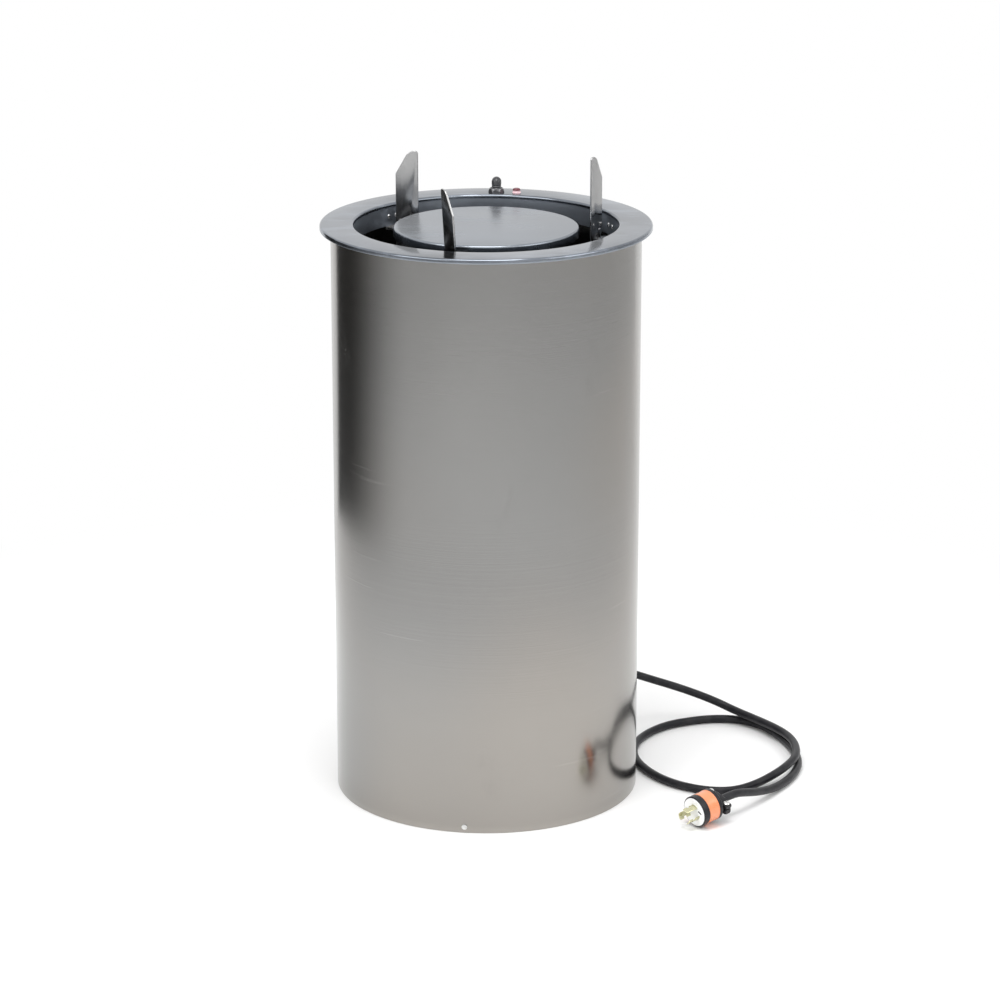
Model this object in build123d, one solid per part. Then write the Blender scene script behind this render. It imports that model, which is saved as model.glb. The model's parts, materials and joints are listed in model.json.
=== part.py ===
from build123d import *
from math import atan2, cos, degrees, hypot, pi, radians, sin, tan
import os

# Drop-in heated plate dispenser, standing on its shell with the flange on top.
# Millimetres, +Z up, origin at the centre of the base on the floor, -Y to the front.

# Shell and flange
overall_height = 769.0
shell_radius = 202.0
shell_sheet = 1.2
flange_radius = 216.0
flange_sheet = 1.5
flange_lip = 6.0
opening_radius = 172.0
collar_depth = 30.0
flange_under = overall_height - flange_sheet
collar_low = overall_height - collar_depth
weld_leg = 1.5
shell_inner = shell_radius - shell_sheet

# Base pan
pan_radius = shell_inner - 0.1
pan_low = 3.0
pan_sheet = 1.2
pan_floor = pan_low + pan_sheet
pan_rim_top = 18.0
base_screw_angles = [-98.3, 21.7, 141.7]
base_screw_height = 8.0

# Carrier, its rails and its springs
rail_places = {"front": -50.0, "back": 70.0, "left": 190.0}
rail_circle = 187.0
rail_diameter = 10.0
hanger_low = 733.0
hanger_sheet = 3.0
hanger_half_width = 32.0
hanger_leg_low = 700.0
disc_radius = 120.5
disc_top = overall_height - 4.5
disc_sheet = 1.2
disc_skirt = 12.5
arm_top = 722.0
arm_sheet = 3.0
arm_half_width = 13.0
arm_web = 12.0
hub_radius = 85.0
post_circle = 60.0
post_angles = [10.0, 130.0, 250.0]
leg_face = 177.0
leg_sheet = 3.0
leg_low = 572.0
lug_height = 15.0
lug_end = 197.0
lug_lows = [575.0, 690.0]
bushing_radius = 7.0
running_gap = 0.05
spring_offset = 18.0
spring_radius = 6.0
spring_low = 580.0
spring_high = 726.0
spring_wire = 1.6

# Plate guides, seen from above: the tall edge stands at guide_inner, the blade runs outward from it
guide_places = {"front": -111.5, "right": 12.5, "left": 130.0}
guide_lifts = {"front": -2.0, "right": 3.5, "left": -2.4}
guide_leans = {"front": 3.8, "right": 0.0, "left": 0.0}
guide_inner = 139.5
guide_turn = 48.0
guide_width = 30.0
guide_sheet = 2.5
guide_tail = 7.0
guide_reach = guide_width - guide_tail
pivot_along = guide_inner + guide_reach * cos(radians(guide_turn))
pivot_aside = guide_reach * sin(radians(guide_turn))
pivot_circle = hypot(pivot_along, pivot_aside)
pivot_offset = degrees(atan2(pivot_aside, pivot_along))
guide_low = 22.0
guide_top = overall_height + 75.0
guide_corner = overall_height + 44.3
guide_bend = overall_height - 15.0
guide_pin_radius = 3.0
bracket_low = 734.0
bracket_sheet = 3.0
bracket_leg_sheet = 2.0
bracket_half_width = 12.0
bracket_top = 762.0
rivet_height = 752.0
rivet_side = 7.0
tongue_half_width = 8.0

# Heater and wiring
reflector_low = 56.0
reflector_sheet = 1.2
element_circle = 95.0
element_height = 84.0
element_radius = 4.0
element_bend = 12.0
element_gap = 16.0
box_angle = 45.0
box_inner_face = 166.0
box_outer_face = 196.0
box_half_width = 40.0
box_low = 60.0
box_high = 150.0
box_sheet = 1.2

# Switch and pilot lamp in the back of the flange
switch_place = (187.5, 85.8)
lamp_place = (188.8, 77.5)
lever_pivot = overall_height + 1.5
lever_throw = 12.0
lever_tip = 2.9
boot_radius = 6.5
boot_foot = 2.8
nut_height = 6.0

# Power cord and plug: the cord leaves the strain relief, crosses over itself and ends at the plug
cord_diameter = 11.0
relief_height = 88.0
relief_nose = 226.0
relief_collar = shell_radius + 4.5
cord_route = [
    (159.81, 159.81, 88), (186, 186, 88), (226, 201, 69.5), (276, 218, 47.8), (320, 221, 29.5),
    (351, 205, 19), (378.5, 175.5, 17), (399, 147, 17), (415, 119, 17), (424, 89, 17),
    (425.5, 55, 17), (421, 27, 16.8), (408, -1, 16), (390, -25, 13), (362, -49, 7.5), (330, -68, 5.5),
    (291, -66, 5.5), (248, -39, 5.5), (218, 5, 5.5), (200, 63, 5.5), (208, 126, 5.5),
    (247, 182, 5.5), (300, 206, 5.5), (334, 210, 5.5), (361, 204, 5.5), (384, 186, 5.5),
    (400, 161, 5.5), (415, 123, 5.5), (426, 77, 5.5), (427, 32, 5.5), (416, -9, 5.5), (398, -44, 6),
    (379, -73, 9.5), (360, -98, 16), (343.7, -119, 23.6), (326.9, -137.1, 29.85), (308.4, -152.1, 26.95)]
plug_radius = 21.0
plug_rear = -49.0
band_span = (-28.0, -10.5)
clamp_roll = -16.6
clamp_side = 15.4

UP = (Align.CENTER, Align.CENTER, Align.MIN)


def rod(radius, low, high):
    return Pos(0, 0, low) * Cylinder(radius, high - low, align=UP)


def ring(outer, inner, low, high):
    return rod(outer, low, high) - rod(inner, low - 1, high + 1)


def block(x_range, y_range, z_range):
    """A box between its limits along each axis."""
    size = [b - a for a, b in (x_range, y_range, z_range)]
    middle = [(a + b) / 2 for a, b in (x_range, y_range, z_range)]
    return Pos(*middle) * Box(*size)


def turned(angle, shape):
    """A shape drawn on the +X side, set at an angle around the axis of the dispenser."""
    return Rot(0, 0, angle) * shape


def point(radius, angle, height):
    return Vector(radius * cos(radians(angle)), radius * sin(radians(angle)), height)


def outline(corners):
    """Face from (across, up, fillet) corners, drawn in its own plane."""
    face = make_face(Polyline([(x, y) for x, y, _ in corners], close=True))
    for x, y, radius in corners:
        if radius:
            corner = face.vertices().sort_by_distance((x, y, 0))[0]
            face = fillet(corner, radius)
    return face


def spun(corners):
    """Solid of revolution about Z from (radius, height, fillet) corners."""
    return revolve(Plane.XZ * outline(corners), Axis.Z)


def across(radius, start, end, height):
    """A rod along X between two distances from the axis."""
    return Pos(start, 0, height) * Rot(0, 90, 0) * Cylinder(radius, end - start, align=UP)


def hexagon(flats, low, high):
    return Pos(0, 0, low) * extrude(RegularPolygon(flats / 2, 6, major_radius=False), high - low)


def tube_along(points, radii, diameter):
    """A round tube along straight runs joined by tangent arcs."""
    path = FilletPolyline(*points, radius=radii)
    start = Plane(origin=path @ 0, z_dir=path % 0)
    return sweep(start * Circle(diameter / 2), path=path)


def outer_shell():
    shell = ring(shell_radius, shell_inner, 0, flange_under)
    for angle in base_screw_angles:
        shell -= turned(angle, across(2.1, shell_inner - 4, shell_radius + 4, base_screw_height))
    return shell - turned(box_angle, across(10.1, shell_inner - 4, shell_radius + 4, relief_height))


def top_flange():
    """Flat ring with a turned-down lip, a rolled collar and the weld bead round the shell under it."""
    lip_low = overall_height - flange_lip
    lip_inner = flange_radius - flange_sheet
    collar_outer = opening_radius + flange_sheet
    bead = shell_radius + 0.05
    flange = spun([
        (opening_radius, collar_low, 0), (collar_outer, collar_low, 0), (collar_outer, flange_under, 1.5),
        (bead, flange_under, 0), (bead, flange_under - weld_leg, 0), (bead + weld_leg, flange_under, 0),
        (lip_inner, flange_under, 1.4), (lip_inner, lip_low, 0), (flange_radius, lip_low, 0),
        (flange_radius, overall_height, 2.9), (opening_radius, overall_height, 3.0)])
    for (radius, angle), hole in ((switch_place, 6.0), (lamp_place, 4.1)):
        flange -= turned(angle, Pos(radius, 0, 0) * rod(hole, flange_under - 2, overall_height + 2))
    for angle in guide_places.values():
        for side in (-rivet_side, rivet_side):
            flange -= turned(angle + pivot_offset, Pos(0, side, 0) * across(1.6, 168, 178, rivet_height))
    return flange


def base_pan():
    """Floor pan with an upturned rim and two rings of vents."""
    wall = pan_radius - pan_sheet
    pan = spun([
        (0, pan_low, 0), (pan_radius, pan_low, 3.0), (pan_radius, pan_rim_top, 0),
        (wall, pan_rim_top, 0), (wall, pan_floor, 1.8), (0, pan_floor, 0)])
    for step in range(12):
        for middle, offset in ((62.0, 0.0), (140.0, 15.0)):
            slot = block((middle - 17, middle + 17), (-3, 3), (pan_low - 1, pan_floor + 1))
            pan -= turned(step * 30.0 + offset, slot)
    for angle in base_screw_angles:
        pan -= turned(angle, across(2.05, pan_radius - 5, pan_radius + 5, base_screw_height))
    return pan


def base_screws():
    shank = across(2.0, pan_radius - 5, shell_radius, base_screw_height)
    head = across(3.6, shell_radius, shell_radius + 2.1, base_screw_height)
    slot = block((shell_radius + 1.3, shell_radius + 3), (-0.5, 0.5), (2, 14))
    return [turned(angle, shank + head - slot) for angle in base_screw_angles]


def spring_hanger(angle):
    """Shelf on a leg that is welded to the inside of the shell."""
    top = hanger_low + hanger_sheet
    leg = ring(pan_radius, pan_radius - 1.8, hanger_leg_low, top)
    shelf = ring(pan_radius, 176.0, hanger_low, top)
    window = block((150, 210), (-hanger_half_width, hanger_half_width), (hanger_leg_low, top))
    hanger = (leg + shelf) & window
    hanger -= Pos(rail_circle, 0, 0) * rod(rail_diameter / 2 + 0.1, hanger_low - 1, top + 1)
    for side in (-spring_offset, spring_offset):
        hanger -= Pos(rail_circle, side, 0) * rod(1.6, hanger_low - 1, top + 1)
    return turned(angle, hanger)


def carrier_rail(angle):
    """Upright rod with its foot flange on the base pan."""
    rail = rod(rail_diameter / 2, pan_floor, hanger_low + hanger_sheet + 6.5)
    rail += rod(11.0, pan_floor, pan_floor + 5)
    return turned(angle, Pos(rail_circle, 0, 0) * rail)


def rail_nuts():
    low = hanger_low + hanger_sheet
    nut = hexagon(16.0, low, low + 5.5) - rod(rail_diameter / 2, low - 1, low + 7)
    return [turned(angle, Pos(rail_circle, 0, 0) * nut) for angle in rail_places.values()]


def stop_rings():
    """Rubber sleeves on the rails that the carrier comes up against."""
    low = lug_lows[1] + lug_height + 1.3
    sleeve = ring(9.0, rail_diameter / 2 + 0.2, low, hanger_low)
    return [turned(angle, Pos(rail_circle, 0, 0) * sleeve) for angle in rail_places.values()]


def guide_bracket(place):
    """Tongue under the collar that holds a guide's upper pin, on a leg riveted to the collar."""
    top = bracket_low + bracket_sheet
    leg_inner = opening_radius + flange_sheet
    leg_outer = leg_inner + bracket_leg_sheet
    window = block((150, 190), (-bracket_half_width, bracket_half_width), (bracket_low, bracket_top))
    leg = ring(leg_outer, leg_inner, bracket_low, bracket_top) & window
    width = (-tongue_half_width, tongue_half_width)
    tongue = block((pivot_circle, leg_outer - 0.6), width, (bracket_low, top))
    eye = Pos(pivot_circle, 0, 0) * rod(tongue_half_width, bracket_low, top)
    bracket = leg + tongue + eye
    bracket -= Pos(pivot_circle, 0, 0) * rod(guide_pin_radius + running_gap, bracket_low - 1, top + 1)
    for side in (-rivet_side, rivet_side):
        bracket -= Pos(0, side, 0) * across(1.6, 168, 180, rivet_height)
    return turned(place + pivot_offset, bracket)


def bracket_rivets():
    rivets = []
    leg_outer = opening_radius + flange_sheet + bracket_leg_sheet
    for place in guide_places.values():
        for side in (-rivet_side, rivet_side):
            rivet = across(1.55, opening_radius - 1.2, leg_outer + 0.9, rivet_height)
            rivet += across(2.8, opening_radius - 1.4, opening_radius - 0.3, rivet_height)
            rivet += across(2.6, leg_outer, leg_outer + 1.0, rivet_height)
            rivets.append(turned(place + pivot_offset, Pos(0, side, 0) * rivet))
    return rivets


def guide_feet():
    """Nylon cups on the base pan for the lower pins of the guides."""
    cup = rod(10.0, pan_floor, 19.0) - rod(guide_pin_radius + running_gap, 7.9, 20)
    return [turned(place + pivot_offset, Pos(pivot_circle, 0, 0) * cup) for place in guide_places.values()]


def guide(place, lift, lean):
    """Full-height blade with its two pins. Its notch clears the bracket, and a lean bends its tip."""
    inner = -guide_reach
    top = guide_top + lift
    notch_low = bracket_low - 5
    notch_high = bracket_low + bracket_sheet + 5
    blade = outline([
        (inner, guide_low, 1.0), (guide_tail, guide_low, 1.0), (guide_tail, notch_low, 1.0),
        (-10.0, notch_low, 2.0), (-10.0, notch_high, 2.0), (guide_tail, notch_high, 1.0),
        (guide_tail, guide_corner + lift, 2.0), (-10.3, top, 12.0), (inner, top, 3.5)])
    sheet = extrude(Plane.XZ * blade, guide_sheet / 2, both=True)
    if lean:
        above = block((-40, 20), (-5, 5), (guide_bend, top + 5))
        hinge = Pos(0, 0, guide_bend)
        tip = hinge * Rot(lean, 0, 0) * hinge.inverse() * (sheet & above)
        rolled = across(guide_sheet / 2, inner, guide_tail, guide_bend)
        sheet = (sheet - above) + tip + rolled
    lower_pin = rod(guide_pin_radius, 8.0, 40.0)
    upper_pin = rod(guide_pin_radius, notch_low - 8, notch_high + 8)
    pivoted = sheet + lower_pin + upper_pin
    blade_angle = guide_turn - pivot_offset
    return turned(place + pivot_offset, Pos(pivot_circle, 0, 0) * Rot(0, 0, blade_angle) * pivoted)


def heater_reflector():
    """Shallow dish under the heating element."""
    dish = spun([
        (0, reflector_low, 0), (114.0, reflector_low, 3.0), (126.0, 78.0, 0), (124.6, 78.4, 0),
        (113.3, reflector_low + reflector_sheet, 1.8), (0, reflector_low + reflector_sheet, 0)])
    for spot in element_ends():
        dish -= Pos(spot.X, spot.Y, 0) * rod(6.0, reflector_low - 1, reflector_low + 3)
    return dish


def reflector_legs():
    leg = Pos(100, 0, 0) * rod(5.0, pan_floor, reflector_low)
    return [turned(angle, leg) for angle in (60.0, 180.0, 300.0)]


def element_ends():
    """Centres of the two upright ends of the element, beside the gap in its ring."""
    ends = []
    for side in (1, -1):
        angle = -90.0 + side * element_gap
        along = Vector(-sin(radians(angle)), cos(radians(angle)), 0) * side
        ends.append(point(element_circle, angle, 0) - along * element_bend)
    return ends


def heater_element():
    """Open ring of tubular element with both ends turned down."""
    low = reflector_low - 12
    knee = element_height - element_bend
    ends = element_ends()
    corners = [point(element_circle, -90.0 + side * element_gap, element_height) for side in (1, -1)]
    bends = []
    for end, corner in zip(ends, corners):
        centre = Vector(corner.X, corner.Y, knee)
        away = (Vector(end.X, end.Y, knee) - centre).normalized()
        middle = centre + (away + Vector(0, 0, 1)).normalized() * element_bend
        bends.append(ThreePointArc((end.X, end.Y, knee), middle, corner))
    path = Wire([
        Line((ends[0].X, ends[0].Y, low), (ends[0].X, ends[0].Y, knee)).edge(), bends[0].edge(),
        ThreePointArc(corners[0], point(element_circle, 90, element_height), corners[1]).edge(),
        bends[1].edge(), Line((ends[1].X, ends[1].Y, knee), (ends[1].X, ends[1].Y, low)).edge()])
    start = Plane(origin=(ends[0].X, ends[0].Y, low), z_dir=(0, 0, 1))
    return sweep(start * Circle(element_radius), path=path)


def heater_supports():
    plate = block((88, 102), (-1, 1), (reflector_low + reflector_sheet, element_height + 6))
    plate -= Pos(element_circle, 0, element_height) * Rot(90, 0, 0) * Cylinder(element_radius + 0.15, 6)
    return [turned(angle, plate) for angle in (0.0, 120.0, 240.0)]


def heater_insulators():
    """Ceramic bushes where the element passes through the reflector."""
    bush = ring(6.0, element_radius + 0.1, reflector_low - 6, reflector_low + 3)
    bush += ring(8.5, element_radius + 0.1, reflector_low + reflector_sheet, reflector_low + 4)
    return [Pos(spot.X, spot.Y, 0) * bush for spot in element_ends()]


def heater_leads():
    """Two sleeved wires from the control box to the ends of the element."""
    leads = []
    for index, spot in enumerate(element_ends()):
        run = 25.0 + 8.0 * index
        start = point(178 - 10 * index, box_angle - 5, box_low)
        turn_off = point(178 - 10 * index, box_angle - 5, run)
        points = [start, turn_off, point(112, -8, run), Vector(spot.X, spot.Y, run),
                  Vector(spot.X, spot.Y, reflector_low - 12)]
        leads.append(tube_along(points, [8.0, 30.0, 8.0], 4.0))
    return leads


def control_box():
    """Tray on the inside of the shell, open towards the middle, with two welded tabs."""
    box = block((box_inner_face, box_outer_face), (-box_half_width, box_half_width), (box_low, box_high))
    box -= block((box_inner_face - 1, box_outer_face - box_sheet),
                 (-box_half_width + box_sheet, box_half_width - box_sheet),
                 (box_low + box_sheet, box_high - box_sheet))
    for low in (box_low, box_high - box_sheet):
        box += block((box_outer_face - 2, shell_inner - 0.5), (-12, 12), (low, low + box_sheet))
    box -= across(10.1, box_outer_face - 5, box_outer_face + 5, relief_height)
    box = turned(box_angle, box)
    for spot, hole in wire_entries():
        box -= Pos(spot.X, spot.Y, 0) * rod(hole, box_low - 1, box_low + 3)
    return box


def wire_entries():
    """Where the wires come up through the floor of the control box, with the hole radii."""
    leads = [(point(178 - 10 * index, box_angle - 5, 0), 2.1) for index in (0, 1)]
    return leads + [(point(180, box_angle, 0), 1.1), (point(184, box_angle + 6, 0), 3.1)]


def control_box_cover():
    width = (-box_half_width, box_half_width)
    cover = block((box_inner_face - 1.5, box_inner_face), width, (box_low, box_high))
    for side in (-34, 34):
        for height in (box_low + 7, box_high - 7):
            cover -= Pos(0, side, 0) * across(1.6, box_inner_face - 3, box_inner_face + 3, height)
    return turned(box_angle, cover)


def cover_screws():
    screws = []
    for side in (-34, 34):
        for height in (box_low + 7, box_high - 7):
            screw = across(1.6, box_inner_face - 1.6, box_inner_face + 6, height)
            screw += across(3.0, box_inner_face - 3.3, box_inner_face - 1.5, height)
            screws.append(turned(box_angle, Pos(0, side, 0) * screw))
    return screws


def terminal_block():
    body = block((178, 194.8), (-32, -14), (72, 132))
    for step in range(5):
        body -= block((176, 184), (-34, -12), (76 + step * 11, 83 + step * 11))
    return turned(box_angle, body)


def thermostat():
    """Control body in the box, with its two tabs."""
    body = block((174, 194.8), (12, 34), (112, 142))
    for side in (17, 27):
        body += block((168, 174), (side, side + 1), (122, 130))
    return turned(box_angle, body)


def thermostat_bulb():
    """Sensing bulb beside the reflector on its capillary from the control box."""
    points = [(180, 0, box_low), (180, 0, 30), (136, 0, 30), (136, 0, 62)]
    capillary = tube_along([Vector(*p) for p in points], [10.0, 10.0], 2.0)
    bulb = Pos(136, 0, 0) * rod(3.0, 62, 128)
    return turned(box_angle, capillary + bulb)


def switch_harness():
    """Wires from the switch and lamp down the inside of the shell to the control box."""
    points = [
        point(188, 87, 737), point(188, 87.5, 722), point(196.5, 94, 690), point(196.5, 94, 34),
        point(197.4, 80, 34), point(197.4, 63, 34), point(184, 51, 34), point(184, 51, box_low)]
    return tube_along(points, [8.0, 14.0, 12.0, 30.0, 20.0, 10.0], 6.0)


def switch_body():
    """Moulded switch under the flange, its threaded bushing and its terminals."""
    top = flange_under - 0.5
    body = block((-8.5, 8.5), (-9, 9), (747, top - 1.5)) + rod(5.9, top - 2, overall_height + 2.4)
    body -= rod(3.9, overall_height - 5, overall_height + 4)
    for side in (-4, 4):
        body += block((-3, 3), (side - 0.5, side + 0.5), (739.5, 748))
    return switch_spot(body)


def switch_spot(shape):
    radius, angle = switch_place
    return turned(angle, Pos(radius, 0, 0) * shape)


def switch_nut():
    """Wide hexagonal nut, tapering up to a cup round the foot of the boot."""
    top = overall_height + nut_height
    taper = Pos(0, 0, overall_height) * Cone(11.6, 9.0, nut_height, align=UP)
    nut = hexagon(18.5, overall_height, top) & taper
    nut -= rod(5.9, overall_height - 1, top + 1)
    nut -= rod(8.0, overall_height + 2.0, top + 1)
    return switch_spot(nut)


def lever_spot(shape):
    """Set a shape drawn upright about the lever's pivot into its resting place."""
    return switch_spot(Pos(0, 0, lever_pivot) * Rot(0, lever_throw, 0) * shape)


def lever_stem():
    return Pos(0, 0, -6) * Cone(2.3, lever_tip, 20, align=UP) + Pos(0, 0, 14) * Sphere(lever_tip)


def toggle_lever():
    return lever_spot(lever_stem())


def switch_boot():
    """Rubber dome over the lever, closed round by the nut."""
    dome = rod(boot_radius, boot_foot, 14.2) + Pos(0, 0, 14.2) * Sphere(boot_radius)
    dome = dome & block((-10, 10), (-10, 10), (boot_foot, 19.5))
    return lever_spot(dome - lever_stem())


def lamp_lens():
    """Squat lens with rounded shoulders on a thin bezel."""
    radius, angle = lamp_place
    top = overall_height + 6.2
    lens = rod(5.7, overall_height, overall_height + 0.7)
    lens += spun([(0, overall_height, 0), (5.3, overall_height, 0), (5.3, top, 2.4), (0, top, 0)])
    return turned(angle, Pos(radius, 0, 0) * lens)


def lamp_body():
    radius, angle = lamp_place
    body = rod(4.0, 746, overall_height) + hexagon(11.0, flange_under - 3.5, flange_under)
    return turned(angle, Pos(radius, 0, 0) * body)


def strain_relief():
    """Moulded cord grip through the shell and the back of the control box."""
    relief = across(10.0, box_outer_face - 9, shell_radius, relief_height)
    relief += across(13.0, shell_radius, relief_collar, relief_height)
    nose = Pos(relief_collar, 0, relief_height) * Rot(0, 90, 0)
    relief += nose * Cone(10.0, 6.8, relief_nose - relief_collar, align=UP)
    return turned(box_angle, relief)


def strain_relief_nut():
    face = box_outer_face - box_sheet
    nut = Pos(face - 5, 0, relief_height) * Rot(0, 90, 0) * hexagon(25.0, 0, 5)
    nut -= across(10.0, face - 7, face + 2, relief_height)
    return turned(box_angle, nut)


def arc_radii(points):
    """The arc at each corner, as large as 0.45 of its shorter run allows."""
    radii = []
    for before, here, after in zip(points, points[1:], points[2:]):
        arriving = here - before
        leaving = after - here
        turn = radians(arriving.get_angle(leaving))
        radii.append(0.45 * min(arriving.length, leaving.length) / tan(turn / 2))
    return radii


def power_cord():
    points = [Vector(*spot) for spot in cord_route]
    radii = arc_radii(points)
    path = FilletPolyline(*points, radius=radii)
    cord = tube_along(points, radii, cord_diameter)
    expected = pi * cord_diameter**2 / 4 * path.length
    print("cord radii", [round(radius, 1) for radius in radii])
    print("cord length", round(path.length, 1), "volume ratio", round(cord.volume / expected, 4))
    return cord


def plug_spot(shape):
    """Set a shape drawn along Z, with the plug's face at height 0, at the end of the cord's last run."""
    before, end = [Vector(*spot) for spot in cord_route[-2:]]
    axis = (end - before).normalized()
    face_centre = end - axis * plug_rear
    return Plane(origin=face_centre, x_dir=(-axis.Y, axis.X, 0), z_dir=axis).location * shape


def plug_body():
    """Black casing: a front collar, a core under the band, a rear rim and a tapered back."""
    band_rear, band_front = band_span
    body = rod(plug_radius, band_front, -0.8) + rod(plug_radius - 2.2, band_rear, band_front)
    body += rod(plug_radius, -33.0, band_rear)
    body += Pos(0, 0, -38.0) * Cone(14.5, plug_radius - 0.6, 5.0, align=UP)
    return plug_spot(body - rod(plug_radius - 1.6, -3.0, 1.0))


def plug_band():
    return plug_spot(ring(plug_radius, plug_radius - 2.2, *band_span))


def plug_face():
    """Pale face with a small slot beside the blades."""
    face = rod(plug_radius - 1.6, -3.0, 0.0)
    return plug_spot(face - Pos(11.4, 2.3, 0) * Rot(0, 0, -26) * block((-3.4, 3.4), (-1.3, 1.3), (-1.8, 1)))


def plug_blades():
    """Three curved locking blades on one circle."""
    blades = []
    for angle in (75.0, 195.0, 315.0):
        blade = ring(10.8, 9.3, 0.0, 17.5) & block((6, 14), (-5.0, 5.0), (0.0, 17.5))
        blade -= block((6, 14), (2.2, 7), (6.0, 10.5))
        blades.append(plug_spot(turned(angle, blade)))
    return blades


def plug_clamp():
    """Cord clamp across the rear of the plug, with a screw through the ear at each end."""
    ears = Pos(0, -2.0, plug_rear) * extrude(RectangleRounded(41, 17.5, 6.5), 11.0)
    clamp = ears + rod(8.5, plug_rear, -38.0)
    for side in (-clamp_side, clamp_side):
        clamp -= Pos(side, 0, -43.5) * Rot(90, 0, 0) * Cylinder(2.05, 40)
    return plug_spot(Rot(0, 0, clamp_roll) * clamp)


def plug_screws():
    """Screws down through the clamp, with their heads on its upper side."""
    screws = []
    for side in (-clamp_side, clamp_side):
        screw = rod(2.0, -9.0, 6.8) + rod(4.1, 6.75, 8.9) - block((-5, 5), (-0.5, 0.5), (8.0, 10))
        upright = Pos(side, 0, -43.5) * Rot(-90, 0, 0) * screw
        screws.append(plug_spot(Rot(0, 0, clamp_roll) * upright))
    return screws


def plate_disc():
    """Shallow inverted pan that the plates stand on."""
    wall = disc_radius - disc_sheet
    under = disc_top - disc_sheet
    low = disc_top - disc_skirt
    return spun([
        (0, disc_top, 0), (disc_radius, disc_top, 3.0), (disc_radius, low, 0),
        (wall, low, 0), (wall, under, 1.8), (0, under, 0)])


def disc_posts():
    post = Pos(post_circle, 0, 0) * rod(7.0, arm_top, disc_top - disc_sheet)
    return [turned(angle, post) for angle in post_angles]


def carrier_nuts():
    low = arm_top - arm_sheet
    nut = hexagon(13.0, low - 6.5, low) + rod(4.0, low - 9, arm_top)
    return [turned(angle, Pos(post_circle, 0, 0) * nut) for angle in post_angles]


def carrier_spider():
    """Hub plate with three channel arms that reach out under the collar."""
    low = arm_top - arm_sheet
    spider = rod(hub_radius, low, arm_top)
    for angle in rail_places.values():
        arm = block((30, leg_face), (-arm_half_width, arm_half_width), (low, arm_top))
        for side in (-arm_half_width, arm_half_width - 2.5):
            arm += block((hub_radius - 8, leg_face), (side, side + 2.5), (low - arm_web, low))
        spider += turned(angle, arm)
    for angle in post_angles:
        spider -= turned(angle, Pos(post_circle, 0, 0) * rod(4.0, low - 1, arm_top + 1))
    return spider - rod(20.0, low - 1, arm_top + 1)


def drop_leg(angle):
    """Plate hanging from an arm, with two lugs round the rail and a shelf for the springs."""
    inner = leg_face - leg_sheet
    leg = block((inner, leg_face), (-10, 10), (leg_low + 120, arm_top - arm_sheet))
    leg += block((inner, leg_face), (-14, 14), (leg_low + 18, leg_low + 122))
    leg += block((inner, leg_face), (-28, 28), (leg_low, leg_low + 19))
    leg += block((leg_face - 1, lug_end), (-28, 28), (leg_low, leg_low + 3))
    for low in lug_lows:
        leg += block((leg_face - 1, lug_end), (-10, 10), (low, low + lug_height))
        leg -= Pos(rail_circle, 0, 0) * rod(bushing_radius, low - 4, low + lug_height + 1)
    for side in (-spring_offset, spring_offset):
        leg -= Pos(rail_circle, side, 0) * rod(1.6, leg_low - 1, leg_low + 4)
    return turned(angle, leg)


def rail_bushings():
    """Flanged nylon bushings in the lugs, running on the rails."""
    bushings = []
    bore = rail_diameter / 2 + running_gap
    for angle in rail_places.values():
        for low in lug_lows:
            top = low + lug_height
            start = leg_low if low == lug_lows[0] else low
            bushing = ring(bushing_radius, bore, start, top + 1) + ring(9.0, bore, top, top + 1)
            bushings.append(turned(angle, Pos(rail_circle, 0, 0) * bushing))
    return bushings


def spring_pair(angle):
    """Two extension springs from the hanger to the leg, as plain coils with straight hooks."""
    coil = rod(spring_radius, spring_low, spring_high)
    coil += rod(spring_wire / 2, leg_low - 3, spring_low)
    coil += rod(spring_wire / 2, spring_high, hanger_low + 5)
    return [turned(angle, Pos(rail_circle, side, 0) * coil) for side in (-spring_offset, spring_offset)]


def assembly():
    nodes = {
        "outer_shell": outer_shell(), "top_flange": top_flange(), "base_pan": base_pan(),
        "base_screws": base_screws(), "rail_nuts": rail_nuts(), "stop_rings": stop_rings(),
        "bracket_rivets": bracket_rivets(), "guide_feet": guide_feet(),
        "heater_reflector": heater_reflector(), "reflector_legs": reflector_legs(),
        "heater_element": heater_element(), "heater_supports": heater_supports(),
        "heater_insulators": heater_insulators(), "heater_leads": heater_leads(),
        "control_box": control_box(), "control_box_cover": control_box_cover(),
        "cover_screws": cover_screws(), "terminal_block": terminal_block(),
        "thermostat": thermostat(), "thermostat_bulb": thermostat_bulb(),
        "switch_harness": switch_harness(), "switch_body": switch_body(), "switch_nut": switch_nut(),
        "toggle_lever": toggle_lever(), "switch_boot": switch_boot(),
        "lamp_lens": lamp_lens(), "lamp_body": lamp_body(),
        "strain_relief": strain_relief(), "strain_relief_nut": strain_relief_nut(),
        "power_cord": power_cord(), "plug_body": plug_body(), "plug_band": plug_band(),
        "plug_face": plug_face(), "plug_blades": plug_blades(), "plug_clamp": plug_clamp(),
        "plug_screws": plug_screws(), "plate_disc": plate_disc(), "disc_posts": disc_posts(),
        "carrier_nuts": carrier_nuts(), "carrier_spider": carrier_spider(),
        "rail_bushings": rail_bushings()}
    for name, angle in rail_places.items():
        nodes[f"spring_hanger_{name}"] = spring_hanger(angle)
        nodes[f"carrier_rail_{name}"] = carrier_rail(angle)
        nodes[f"drop_leg_{name}"] = drop_leg(angle)
        nodes[f"spring_pair_{name}"] = spring_pair(angle)
    for name, place in guide_places.items():
        nodes[f"guide_bracket_{name}"] = guide_bracket(place)
        nodes[f"guide_{name}"] = guide(place, guide_lifts[name], guide_leans[name])
    return nodes


def main():
    os.makedirs("parts", exist_ok=True)
    for name, shape in assembly().items():
        whole = Compound(children=shape) if isinstance(shape, list) else shape
        export_step(whole, f"parts/{name}.step")


main()
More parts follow.
